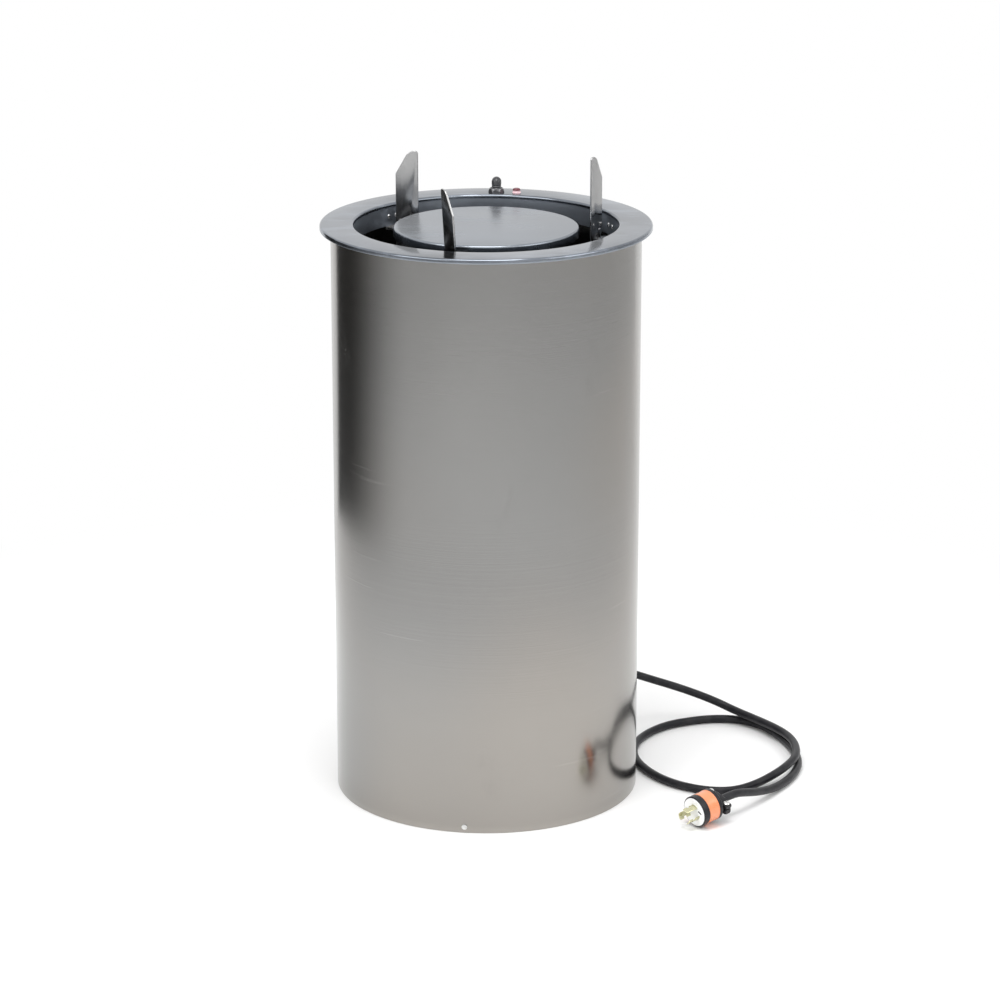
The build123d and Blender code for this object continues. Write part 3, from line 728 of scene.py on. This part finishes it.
NODE_LOOKS = {
    "shell": ["outer_shell"],
    "pan": ["base_pan"],
    "flange": ["top_flange"],
    "disc": ["plate_disc"],
    "blade": each("guide", GUIDE_PLACES),
    "inner": [*each("guide_bracket", GUIDE_PLACES), *each("spring_hanger", RAIL_PLACES),
              *each("drop_leg", RAIL_PLACES), "carrier_spider", "disc_posts", "reflector_legs",
              "control_box", "control_box_cover", "heater_supports"],
    "rod": each("carrier_rail", RAIL_PLACES),
    "zinc": ["base_screws", "rail_nuts", "bracket_rivets", "cover_screws", "carrier_nuts", "plug_screws",
             "switch_nut", "toggle_lever"],
    "spring": each("spring_pair", RAIL_PLACES),
    "dish": ["heater_reflector"],
    "element": ["heater_element"],
    "ceramic": ["heater_insulators"],
    "copper": ["thermostat_bulb"],
    "nylon": ["guide_feet", "rail_bushings"],
    "face": ["plug_face"],
    "phenolic": ["terminal_block", "thermostat", "switch_body", "lamp_body", "strain_relief",
                 "strain_relief_nut"],
    "rubber": ["stop_rings", "switch_boot"],
    "jacket": ["power_cord", "switch_harness", "heater_leads"],
    "casing": ["plug_body", "plug_clamp"],
    "band": ["plug_band"],
    "brass": ["plug_blades"],
    "lens": ["lamp_lens"],
}


# Pieces


def plug_frame():
    """The plug's place: its face centre in millimetres, and its axes with Z out through the face."""
    before, end = np.array(CORD_ROUTE[-2:], float)
    axis = (end - before) / np.linalg.norm(end - before)
    level = np.array([-axis[1], axis[0], 0.0]) / hypot(axis[0], axis[1])
    return end - axis * PLUG_REAR, level, np.cross(axis, level), axis


def screw_head(radius, rise):
    """Domed head with a straight slot: height falls with the square of the radius, and in the slot."""
    share = np.concatenate([[0.04], np.linspace(0.1, 1, 12)])[:, None]
    angle = np.linspace(0, tau, 48, endpoint=False)
    slot = ramp(SCREW_SLOT_WIDTH / 2 + 0.12 - np.abs(radius * share * np.sin(angle)), 0.24)
    top = polar(radius * share, angle, rise * (1 - 0.45 * share**2) - SCREW_SLOT_DEPTH * slot)
    skirt = polar(radius * share[-1:], angle, 0.0)
    return skin(np.concatenate([top, skirt]), columns_join=True, ends=True)


class DISPENSER_OT_set_studio(Operator):
    """Set the floor, the cards, the surroundings, the lamps and the camera"""

    bl_idname = "dispenser.set_studio"
    bl_label = "Set studio"

    def execute(self, context):
        setup = context.scene.dispenser_studio
        self.lay_floor(setup)
        self.stand_cards(setup)
        self.light_surroundings(context)
        for name, (place, size, power) in LAMPS.items():
            self.hang_lamp(name, place, size, getattr(setup, power))
        self.stand_camera(context, setup)
        context.scene.view_settings.view_transform = "Standard"
        return {"FINISHED"}

    def lay_floor(self, setup):
        """Pale disc that keeps the shadows and fades into the white surroundings."""
        angle = np.linspace(0, tau, 96, endpoint=False)
        points = polar(np.array(FLOOR_RINGS)[:, None], angle, -FLOOR_DROP)
        corners, faces = skin(points, columns_join=True)
        faces.append(list(range(len(angle))))
        finish, board = new_look("studio_floor")
        x, y, _ = board.position()
        paper = board.add("ShaderNodeBsdfDiffuse", {}, {0: (*setup.floor, 1.0)})
        white = board.add("ShaderNodeEmission", {}, {0: (1.0, 1.0, 1.0, 1.0), 1: 1.0})
        share = board.from_axis(x, y).rise(*FLOOR_FADE) * self.background_rays(board)
        blended = board.add("ShaderNodeMixShader", {}, {0: share, 1: paper, 2: white})
        board.add("ShaderNodeOutputMaterial", {}, {0: blended})
        self.stage("studio_floor", corners, faces, finish)

    def stand_cards(self, setup):
        """Grey cards that the steel mirrors, off camera: on the floor and upright, all but behind."""
        angle = np.radians(np.linspace(*CARD_SPAN, 120))
        in_front = np.abs(angle + pi / 2) < radians(CARD_FRONT_SPAN)
        wall = np.where(in_front, CARD_FRONT_HEIGHT, CARD_SIDE_HEIGHT)
        rows = [polar(radius, angle, CARD_LIFT + share * wall)
                for radius, share in ((CARD_START, 0), (CARD_REACH, 0), (CARD_REACH, 1))]
        corners, faces = skin(np.array(rows))
        finish, board = new_look("studio_cards")
        x, y, _ = board.position()
        left = (0.0 - x).rise(-0.2, 0.3) * (y / board.from_axis(x, y)).rise(-0.6, 0.5)
        paper = board.add("ShaderNodeBsdfDiffuse", {}, {0: board.mix(left, setup.room, setup.dark_side)})
        board.add("ShaderNodeOutputMaterial", {}, {0: paper})
        self.stage("studio_cards", corners, faces, finish).visible_camera = False

    def background_rays(self, board):
        """1 for rays that see the white background: from the camera, and off or through a surface."""
        seen = [board.add("ShaderNodeLightPath", out=f"Is {kind} Ray")
                for kind in ("Camera", "Glossy", "Transmission")]
        return board.math("MINIMUM", seen[0] + seen[1] + seen[2], 1.0)

    def stage(self, name, corners, faces, finish):
        mesh = bpy.data.meshes.new(name)
        mesh.from_pydata(corners, [], faces)
        mesh.materials.append(finish)
        piece = bpy.data.objects.new(name, mesh)
        bpy.context.scene.collection.objects.link(piece)
        return piece

    def light_surroundings(self, context):
        """White all round for the camera and the metal; what lights the object is dimmer at the left."""
        world = bpy.data.worlds.new("studio")
        world.use_nodes = True
        context.scene.world = world
        board = Board(world.node_tree)
        x, y, z = board.position(out=0)
        behind = y.rise(-0.2, 0.7)
        above = z.rise(-0.1, 0.8)
        dark_side = (0.0 - x).rise(0.45, 0.95) * (1.0 - above) * 0.55
        level = 0.62 + above * 0.35 + behind * 0.25 - dark_side
        shown = board.mix(self.background_rays(board), level, (1.0, 1.0, 1.0))
        light = board.add("ShaderNodeBackground", {}, {0: shown, 1: 1.0})
        board.add("ShaderNodeOutputWorld", {}, {0: light})

    def hang_lamp(self, name, place, size, power):
        """Square soft lamp that faces the dispenser."""
        lamp = bpy.data.lights.new(name, "AREA")
        lamp.shape = "SQUARE"
        lamp.size = size
        lamp.energy = power
        hung = bpy.data.objects.new(name, lamp)
        hung.location = place
        hung.rotation_euler = (LAMP_AIM - Vector(place)).to_track_quat("-Z", "Y").to_euler()
        bpy.context.scene.collection.objects.link(hung)

    def stand_camera(self, context, setup):
        """Camera at the photograph's place, pitch and lens."""
        camera = bpy.data.cameras.new("photograph")
        camera.sensor_width = 36.0
        camera.lens = setup.lens
        camera.clip_end = 50.0
        stand = bpy.data.objects.new("photograph", camera)
        stand.location = CAMERA_PLACE
        pitch, yaw = radians(CAMERA_PITCH), radians(CAMERA_YAW)
        view = Vector((sin(yaw) * cos(pitch), cos(yaw) * cos(pitch), -sin(pitch)))
        stand.rotation_euler = view.to_track_quat("-Z", "Y").to_euler()
        context.scene.collection.objects.link(stand)
        context.scene.camera = stand


class DISPENSER_OT_fit_plug(Operator):
    """Fit the locking plug: casing, band, face, blades, cord clamp and its screws"""

    bl_idname = "dispenser.fit_plug"
    bl_label = "Fit plug"

    def execute(self, context):
        place = plug_frame()
        # The slot's black block is painted shade.
        blacks = [self.casing(), self.grommet(), self.slot_shade_block()]
        blades = [self.blade(angle) for angle in PLUG_BLADE_ANGLES]
        parts = {
            "casing": (blacks, "casing", "plug_black", "body"),
            "band": ([self.band()], "band", "plug_orange", "band"),
            "face": ([self.face()], "face", "nylon", "face"),
            "blades": (blades, "brass", "plug_brass", "blades"),
            "clamp": (self.clamp(), "casing", "plug_black", "clamp"),
            "clamp_screws": (self.clamp_screws(), "zinc", "zinc_fasteners", "screws"),
        }
        for name, (shapes, finish, slot, node) in parts.items():
            placed = [put(shape, *place) for shape in shapes]
            make_piece(f"plug_{name}_dressed", placed, finish, "housing", slot, [f"plug_{node}"])
        return {"FINISHED"}

    def casing(self):
        """Turned casing: collar with a keyway, the band's seat, and a back that tapers to the clamp."""
        band_rear, band_front = BAND_SPAN
        seat = PLUG_RADIUS - 2.3
        corners, faces = spun(rounded([
            (POLE, -3.0, 0), (19.4, -3.0, 0), (19.4, -1.3, 0.2), (PLUG_RADIUS - 0.9, -0.8, 0.3),
            (PLUG_RADIUS, -1.6, 0.5), (PLUG_RADIUS, band_front, 0.5), (seat, band_front, 0),
            (seat, band_rear, 0), (PLUG_RADIUS, band_rear, 0.5), (PLUG_RADIUS, -33.0, 1.4),
            (14.5, -38.0, 1.0), (POLE, -38.0, 0)]), 144)
        swing = swing_from(np.arctan2(corners[:, 1], corners[:, 0]), KEY_ANGLE)
        cut = ramp(0.13 - np.abs(swing), 0.03) * (np.abs(corners[:, 2] + 1.1) < 0.7)
        return corners - np.outer(cut, (0, 0, 1.2)), faces

    def grommet(self):
        """Rubber throat behind the clamp, stepped down to the cord."""
        return spun(rounded([
            (POLE, -47.0, 0), (8.4, -47.0, 0.4), (8.4, -48.0, 0.5), (6.4, -48.3, 0.3),
            (6.4, PLUG_REAR, 0.3), (POLE, PLUG_REAR, 0)]), 60)

    def band(self):
        """Plain band let into the casing, with a fine lip at both edges."""
        rear, front = BAND_SPAN
        inner, outer = PLUG_RADIUS - 2.4, PLUG_RADIUS + 0.1
        flat = outer - 0.35
        return spun(rounded([
            (inner, rear + 0.2, 0), (outer, rear + 0.2, 0.4), (outer, rear + 1.2, 0.3),
            (flat, rear + 1.6, 0.3), (flat, front - 1.6, 0.3), (outer, front - 1.2, 0.3),
            (outer, front - 0.2, 0.4), (inner, front - 0.2, 0)], closed=True), 144, ring=True)

    def face(self):
        """Nylon face: a level disc, sunk at its rim, round the blades and at the small slot."""
        share = np.concatenate([np.linspace(0.02, 0.94, 60), np.linspace(0.95, 1.0, 6)])[:, None]
        angle = np.linspace(0, tau, 180, endpoint=False)[None, :]
        radius = FACE_RADIUS * share + 0 * angle
        sunk = 0.7 * ramp(share - 0.95, 0.05) ** 2 + 0 * angle
        for middle in PLUG_BLADE_ANGLES:
            beside = ramp(6.0 - np.abs(swing_from(angle, middle)) * BLADE_CIRCLE, 0.4)
            sunk = sunk + 0.7 * beside * ramp(1.5 - np.abs(radius - BLADE_CIRCLE), 0.4)
        x, y = radius * np.cos(angle), radius * np.sin(angle)
        along, aside = turned(x - SLOT_X, y - SLOT_Y, -SLOT_LEAN)
        sunk = sunk + 1.8 * ramp(3.5 - np.abs(along), 0.4) * ramp(1.4 - np.abs(aside), 0.4)
        rows = [polar(radius, angle, -sunk), polar(radius[-1:], angle, -2.9)]
        return skin(np.concatenate(rows), columns_join=True, ends=True)

    def slot_shade_block(self):
        """Black block sunk in the small slot beside the blades: painted shade for the slot's depth."""
        # Painted shade: a black block at the slot's foot stands in for the shade inside the slot.
        flat = rounded([(across, up, 0.4) for across, up in (
            (-3.3, -1.2), (3.3, -1.2), (3.3, 1.2), (-3.3, 1.2))], closed=True)
        x, y = turned(flat[:, 0], flat[:, 1], SLOT_LEAN)
        levels = [np.stack([SLOT_X + x, SLOT_Y + y, 0 * x + level], axis=1) for level in (-2.7, -0.5)]
        return skin(np.array(levels), columns_join=True, ends=True)

    def blade(self, middle):
        """Curved locking blade: a rounded section carried up from the face, cut back at the notch."""
        height = np.array(BLADE_LEVELS)
        above = np.clip(height - 15.3, 0, None)
        half = BLADE_HALF - BLADE_CORNER + np.sqrt(np.clip(BLADE_CORNER**2 - above**2, 0, None))
        notched = np.where((height > 6) & (height < 10.5), 2.2, half)
        across, out = squarish(np.linspace(0, tau, 40, endpoint=False), 0.3)
        along = np.where(across > 0, notched[:, None] * across, half[:, None] * across)
        thin = np.where(height > 17.45, 0.6, 1.0)[:, None]
        angle = along / BLADE_CIRCLE + radians(middle)
        points = polar(BLADE_CIRCLE + 0.75 * out * thin, angle, height[:, None])
        return skin(points, columns_join=True, ends=True)

    def rolled(self, shape):
        """The shape turned about the plug's axis by the clamp's roll."""
        corners, faces = shape
        x, y = turned(corners[:, 0], corners[:, 1], CLAMP_ROLL)
        return np.stack([x, y, corners[:, 2]], axis=1), faces

    def clamp(self):
        """Two jaws round the cord: each a rounded section that thins from the cord out to both ears."""
        place = np.linspace(-1, 1, 61)[:, None]
        ear = ease(ramp(np.abs(place) - 0.40, 0.16))
        tip = np.sqrt(np.clip(1 - ramp(np.abs(place) - 0.80, 0.20) ** 2, 0.02, 1))
        bulge, rise = squarish(np.linspace(0, tau, 40, endpoint=False), 0.4)
        z = CLAMP_MIDDLE + CLAMP_DEPTH * (0.72 + 0.28 * tip) * rise
        shapes = []
        for side, thick, ear_thick in ((1, 8.2, 6.0), (-1, 10.4, 8.4)):
            out = thick + (ear_thick - thick) * ear
            y = side * (0.4 + (out - 0.4) * (0.5 + 0.5 * bulge * (0.8 + 0.2 * tip)))
            jaw = np.stack([CLAMP_REACH * place + 0 * y, y, z], axis=-1)
            shapes.append(self.rolled(skin(jaw, columns_join=True, ends=True)))
        return shapes

    def clamp_screws(self):
        """Two screws down through the ears, with their heads on the upper jaw."""
        shapes = []
        for side in (-CLAMP_SIDE, CLAMP_SIDE):
            for corners, faces in (screw_head(4.0, 2.1), pin(1.9, (-15.5, 0.1), (0.4, 0))):
                x, y, z = corners.T
                stood = np.stack([x + side, z + 6.4, CLAMP_MIDDLE - y], axis=1)
                shapes.append(self.rolled(outward(stood, faces)))
        return shapes


class DISPENSER_OT_lay_cord(Operator):
    """Lay the power cord from the strain relief over itself to the plug"""

    bl_idname = "dispenser.lay_cord"
    bl_label = "Lay power cord"

    def execute(self, context):
        sizes = context.scene.dispenser_cord
        curve = bpy.data.curves.new("cord", "CURVE")
        curve.dimensions = "3D"
        spline = curve.splines.new("NURBS")
        spline.points.add(len(CORD_ROUTE) - 1)
        route = np.ones((len(CORD_ROUTE), 4))
        route[:, :3] = np.array(CORD_ROUTE) * MM
        spline.points.foreach_set("co", route.ravel())
        spline.order_u = 3
        spline.use_endpoint_u = True
        spline.resolution_u = 10
        curve.bevel_depth = sizes.diameter / 2
        curve.bevel_resolution = 5
        curve.use_fill_caps = True
        curve.materials.append(look("jacket"))
        cord = bpy.data.objects.new("cord", curve)
        context.scene.collection.objects.link(cord)
        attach(cord, "housing")
        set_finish(cord, "cord_jacket")
        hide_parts("power_cord")
        return {"FINISHED"}


class DISPENSER_OT_wind_springs(Operator):
    """Wind the carrier's extension springs, with a hook at each end"""

    bl_idname = "dispenser.wind_springs"
    bl_label = "Wind springs"

    def execute(self, context):
        sizes = context.scene.dispenser_springs
        for name, place in RAIL_PLACES.items():
            node = f"spring_pair_{name}"
            low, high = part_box(node)
            coils = [upright(self.coil(sizes, low.z / MM, high.z / MM, side), RAIL_CIRCLE, place)
                     for side in (-SPRING_OFFSET, SPRING_OFFSET)]
            pair = make_piece(f"springs_{name}", coils, "spring", None, "spring_steel", [node], sharp=60)
            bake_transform(pair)
        return {"FINISHED"}

    def coil(self, sizes, low, high, side):
        """Helix: the angle grows evenly with the height; the radius closes on the axis at both hooks."""
        wire = sizes.wire / MM
        share = np.linspace(0, 1, sizes.turns * 14)
        height = low + wire / 2 + (high - low - wire) * share
        angle = tau * sizes.turns * share
        into_coil = ramp(np.minimum(height - low - 8, high - 9 - height), 3.0)
        radius = (sizes.radius / MM - wire / 2) * ease(into_coil) + 0.02
        line = np.stack([radius * np.cos(angle), side + radius * np.sin(angle), height], axis=1)
        return tube(line, wire / 2, 7)


class DISPENSER_OT_cut_guides(Operator):
    """Cut the three plate guides, with rounded edges, and set them on their pins"""

    bl_idname = "dispenser.cut_guides"
    bl_label = "Cut plate guides"

    def execute(self, context):
        for name, place in GUIDE_PLACES.items():
            node = f"guide_{name}"
            pivot_x, pivot_y, _ = JOINTS[f"{node}_turn"]["pos_m"]
            facing = radians(place + GUIDE_TURN)
            frame_place = ((pivot_x / MM, pivot_y / MM, 0.0), (cos(facing), sin(facing), 0),
                           (-sin(facing), cos(facing), 0), (0, 0, 1))
            shapes = self.sheets(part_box(node)[1].z / MM, radians(GUIDE_LEANS[name]))
            shapes += [pin(PIN_RADIUS, span, (0.6, 0.6), sides=32, pole=0.01) for span in PIN_SPANS]
            placed = [put(shape, *frame_place) for shape in shapes]
            make_piece(f"blade_{name}", placed, "blade", f"{node}_body", "guide_steel", [node])
        return {"FINISHED"}

    def sheets(self, top, lean):
        """The blade, cut round the bracket; a leaning tip is turned over about a rolled bend."""
        bend = TOP - BEND_DEPTH
        notch_low, notch_high = NOTCH_SPAN
        foot = [(TALL_SIDE, GUIDE_FOOT, 1.0), (SHORT_SIDE, GUIDE_FOOT, 1.0),
                (SHORT_SIDE, notch_low, 1.0), (NOTCH_SIDE, notch_low, 2.0),
                (NOTCH_SIDE, notch_high, 2.0), (SHORT_SIDE, notch_high, 1.0)]
        if not lean:
            return [self.sheet(foot + self.tip(top), steps=12)]
        below = self.sheet(foot + [(SHORT_SIDE, bend, 0), (TALL_SIDE, bend, 0)], steps=7)
        tip = self.tip((top - bend) / cos(lean))
        corners, faces = self.sheet([(TALL_SIDE, 0.0, 0), (SHORT_SIDE, 0.0, 0)] + tip, steps=12)
        side, height = turned(corners[:, 1], corners[:, 2], lean)
        leaning = outward(np.stack([corners[:, 0], side, bend + height], axis=1), faces)
        roll = np.array([[across, 0.0, bend] for across in (TALL_SIDE + 0.1, -8.0, SHORT_SIDE - 0.1)])
        return [below, leaning, tube(roll, GUIDE_SHEET / 2, 24)]

    def sheet(self, corners, steps):
        return plate(rounded(corners, closed=True, steps=steps), GUIDE_SHEET, GUIDE_EDGE)

    def tip(self, top):
        """Corners of the tip: the slope from the short side, and the rounded head of the tall one."""
        return [(SHORT_SIDE, top - SLOPE_DROP, 2.0), (-10.3, top, 12.0), (TALL_SIDE, top, 3.5)]


class DISPENSER_OT_fit_switch(Operator):
    """Fit the switch's nut and rubber boot, and the pilot lamp's lens"""

    bl_idname = "dispenser.fit_switch"
    bl_label = "Fit switch and lamp"

    def execute(self, context):
        sizes = context.scene.dispenser_switch
        nut = upright(self.nut(), SWITCH_CIRCLE, SWITCH_ANGLE)
        make_piece("boot_nut", [nut], "dull", "housing", "zinc_fasteners", ["switch_nut"])
        boot = upright(self.boot(sizes.boot_radius / MM), SWITCH_CIRCLE, SWITCH_ANGLE)
        rubber = make_piece("boot", [boot], "rubber", None, "black_rubber",
                            ["switch_boot", "toggle_lever"], sharp=50)
        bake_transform(rubber)
        lens = upright(self.lens(), LAMP_CIRCLE, LAMP_ANGLE)
        make_piece("lamp_dome", [lens], "lens", "housing", "lamp_red", ["lamp_lens"])
        return {"FINISHED"}

    def nut(self):
        """Wide hexagonal nut: the flats' distance by angle, cut by a cone that tapers up to a cup."""
        angle = np.linspace(0, tau, 120, endpoint=False)
        flats = NUT_FLATS / np.cos((angle + pi / 6) % (pi / 3) - pi / 6)
        rows = []
        for height in (0.0, 0.6, 1.8, 3.2, 4.6, 5.6, NUT_HEIGHT):
            cone = 11.6 - 2.6 * height / NUT_HEIGHT - 0.5 * max(height - 5.6, 0) / 0.4
            rows.append(polar(np.minimum(flats, cone), angle, TOP + height))
        for radius, height in ((8.1, NUT_HEIGHT), (7.9, 5.7), (7.9, 2.0), (5.95, 2.0), (5.95, 0.0)):
            rows.append(polar(radius, angle, TOP + height))
        return skin(np.array(rows), rows_join=True, columns_join=True)

    def boot(self, radius):
        """Flared foot, two ribs and a dome, on a centre line that leans over with the lever."""
        profile = rounded([
            (5.0, 2.4, 0), (6.95, 2.4, 0.3), (6.95, 4.4, 0.6), (radius + 0.1, 5.6, 0.8),
            (radius - 0.9, 6.9, 0.5), (radius + 0.15, 8.2, 0.8), (radius - 0.5, 9.4, 0.6),
            (radius, 10.8, 1.2), (radius, DOME_START, 0), (POLE, DOME_START + radius, 0)], steps=6)
        bend = np.linspace(0, pi / 2, 14)[1:-1]
        dome = np.stack([radius * np.cos(bend), DOME_START + radius * np.sin(bend)], axis=1)
        corners, faces = spun(np.concatenate([profile[:-1], dome, profile[-1:]]), 56)
        x, y, lift = corners.T
        lean = np.tan(radians(LEVER_LEAN)) * np.clip(lift - 3.0, 0, None)
        sunk = 0.022 * np.clip(lift - 6, 0, None)
        return outward(np.stack([x + lean, y, TOP + lift - sunk], axis=1), faces)

    def lens(self):
        """Thin bezel under a squat lens with rounded shoulders."""
        return spun(rounded([
            (POLE, TOP, 0), (5.8, TOP, 0), (5.8, TOP + 0.8, 0.3), (5.3, TOP + 0.9, 0.1),
            (5.3, TOP + 6.2, 2.6), (POLE, TOP + 6.2, 0)], steps=9), 56)


class DISPENSER_OT_drive_screws(Operator):
    """Drive the base screws and set the bracket rivets"""

    bl_idname = "dispenser.drive_screws"
    bl_label = "Drive screws and rivets"

    def execute(self, context):
        forms = ((screw_head(3.6, 2.0), 0.02), (pin(2.0, (-6.0, 0.1), (0.4, 0)), 0.0))
        screws = [sideways(form, SHELL_RADIUS + gap, angle, BASE_SCREW_HEIGHT)
                  for form, gap in forms for angle in BASE_SCREW_ANGLES]
        make_piece("screw_heads", screws, "zinc", "housing", "zinc_fasteners", ["base_screws"])
        make_piece("rivet_heads", self.rivets(), "zinc", "housing", "zinc_fasteners", ["bracket_rivets"])
        return {"FINISHED"}

    def rivets(self):
        """Dome inside the collar and flat tail behind each bracket, on one shank."""
        bend = np.linspace(0, pi / 2, 9)[:-1]
        dome = np.stack([2.8 * np.cos(bend), -1.4 * np.sin(bend)], axis=1)[::-1]
        body = rounded([(2.8, 0.35, 0), (1.5, 0.35, 0), (1.5, 3.3, 0), (2.6, 3.3, 0.2), (2.5, 4.4, 0.5),
                        (POLE, 4.4, 0)])
        rivet = spun(np.concatenate([[[POLE, -1.4]], dome, body]), 28)
        return [sideways(rivet, COLLAR_RADIUS + 0.1, place + PIVOT_OFFSET, RIVET_HEIGHT, side)
                for place in GUIDE_PLACES.values() for side in (-RIVET_SIDE, RIVET_SIDE)]


class DISPENSER_OT_roll_rims(Operator):
    """Roll the flange with its collar, and the carrier disc, with smooth rims"""

    bl_idname = "dispenser.roll_rims"
    bl_label = "Roll flange and disc"

    def execute(self, context):
        flange, disc = upright(self.flange()), upright(self.disc())
        make_piece("flange_rolled", [flange], "flange", "housing", "flange_steel", ["top_flange"])
        make_piece("disc_rolled", [disc], "disc", "carrier", "disc_steel", ["plate_disc"])
        return {"FINISHED"}

    def flange(self):
        """Collar, flat and turned-down lip in one sheet, with a bead where it stands on the shell."""
        sheet, under = FLANGE_SHEET, TOP - FLANGE_SHEET
        inside, rim, bead = COLLAR_RADIUS, FLANGE_RADIUS, SHELL_RADIUS + 0.05
        collar_foot, lip_foot = TOP - COLLAR_DEPTH, TOP - LIP_DEPTH
        return spun(rounded([
            (inside, collar_foot, 0.3), (inside + sheet, collar_foot, 0.3), (inside + sheet, under, 1.5),
            (bead, under, 0), (bead, under - 1.5, 0), (bead + 1.5, under, 0), (rim - sheet, under, 1.4),
            (rim - sheet, lip_foot, 0.3), (rim, lip_foot, 0.3), (rim, TOP, 2.9), (inside, TOP, 3.0)],
            closed=True, steps=9), 320, ring=True)

    def disc(self):
        """Level top and a skirt turned down round it."""
        low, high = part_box("plate_disc")
        top, foot, rim = high.z / MM, low.z / MM, high.x / MM
        inside, under = rim - DISC_SHEET, top - DISC_SHEET
        return spun(rounded([
            (POLE, top, 0), (rim, top, 3.0), (rim, foot, 0.3), (inside, foot, 0.3), (inside, under, 1.8),
            (POLE, under, 0)], steps=9), 280)


class DISPENSER_OT_fit_relief(Operator):
    """Fit the ribbed strain relief where the cord leaves the shell"""

    bl_idname = "dispenser.fit_relief"
    bl_label = "Fit strain relief"

    def execute(self, context):
        nose = RELIEF_NOSE - SHELL_RADIUS
        ribs = np.linspace(5.4, nose - 1.2, 120)
        taper = 10.0 - 3.3 * (ribs - 5.4) / (nose - 6.6)
        wave = 0.55 * np.clip(np.sin(tau * (ribs - 5.4) / 3.0) * 1.6, -1, 1) - 0.45
        sleeve = np.stack([taper + wave, ribs], axis=1)
        nut = rounded([(POLE, -15.0, 0), (9.9, -15.0, 0.6), (9.9, 0.0, 0), (13.0, 0.0, 0.4),
                       (13.0, 4.5, 1.2), (10.0, 4.6, 0.3), (sleeve[0, 0], 5.3, 0)])[:-1]
        mouth = rounded([(6.3, nose - 1.0, 0), (6.5, nose, 0.4), (POLE, nose, 0)])
        shape = spun(np.concatenate([nut, sleeve, mouth]), 72)
        relief = sideways(shape, SHELL_RADIUS, RELIEF_ANGLE, RELIEF_HEIGHT)
        make_piece("relief_sleeve", [relief], "phenolic", "housing", "black_plastic", ["strain_relief"])
        return {"FINISHED"}


class DISPENSER_OT_finish_steel(Operator):
    """Give every solid that stays its finish"""

    bl_idname = "dispenser.finish_steel"
    bl_label = "Finish the solids"

    def execute(self, context):
        for name, nodes in NODE_LOOKS.items():
            for node in nodes:
                piece = frame["nodes"][node]
                if not piece.material_slots:
                    piece.data.materials.append(look(name))
                for place in piece.material_slots:
                    place.material = look(name)
        bare = set(frame["nodes"]) - {node for nodes in NODE_LOOKS.values() for node in nodes}
        if bare:
            raise RuntimeError(f"solids with no finish: {sorted(bare)}")
        return {"FINISHED"}


class DISPENSER_PT_pieces(Panel):
    """Lists the dispenser's pieces and their sizes"""

    bl_idname = "DISPENSER_PT_pieces"
    bl_label = "Plate dispenser"
    bl_space_type = "VIEW_3D"
    bl_region_type = "UI"
    bl_category = "Dispenser"

    def draw(self, context):
        for name, group in SETTINGS.items():
            box = self.layout.box()
            box.label(text=group.__doc__.rstrip("."))
            for field in group.__annotations__:
                box.prop(getattr(context.scene, name), field)
        for step in STEPS:
            self.layout.operator(step.bl_idname)


SETTINGS = {
    "dispenser_steel": SteelLook, "dispenser_springs": SpringSizes, "dispenser_switch": SwitchLook,
    "dispenser_cord": CordSizes, "dispenser_plug": PlugLook, "dispenser_studio": StudioSetup,
}
STEPS = (
    DISPENSER_OT_set_studio, DISPENSER_OT_fit_plug, DISPENSER_OT_lay_cord,
    DISPENSER_OT_finish_steel, DISPENSER_OT_wind_springs, DISPENSER_OT_cut_guides,
    DISPENSER_OT_fit_switch, DISPENSER_OT_drive_screws, DISPENSER_OT_roll_rims,
    DISPENSER_OT_fit_relief,
)


def register():
    for kind in (*SETTINGS.values(), *STEPS, DISPENSER_PT_pieces):
        bpy.utils.register_class(kind)
    for name, group in SETTINGS.items():
        setattr(bpy.types.Scene, name, PointerProperty(type=group))


def unregister():
    for name in SETTINGS:
        delattr(bpy.types.Scene, name)
    for kind in (DISPENSER_PT_pieces, *reversed(STEPS), *reversed(SETTINGS.values())):
        bpy.utils.unregister_class(kind)


def main():
    register()
    bpy.ops.dispenser.set_studio()
    bpy.ops.dispenser.fit_plug()
    bpy.ops.dispenser.lay_cord()
    bpy.ops.dispenser.finish_steel()
    bpy.ops.dispenser.wind_springs()
    bpy.ops.dispenser.cut_guides()
    bpy.ops.dispenser.fit_switch()
    bpy.ops.dispenser.drive_screws()
    bpy.ops.dispenser.roll_rims()
    bpy.ops.dispenser.fit_relief()


if __name__ == "__main__":
    main()
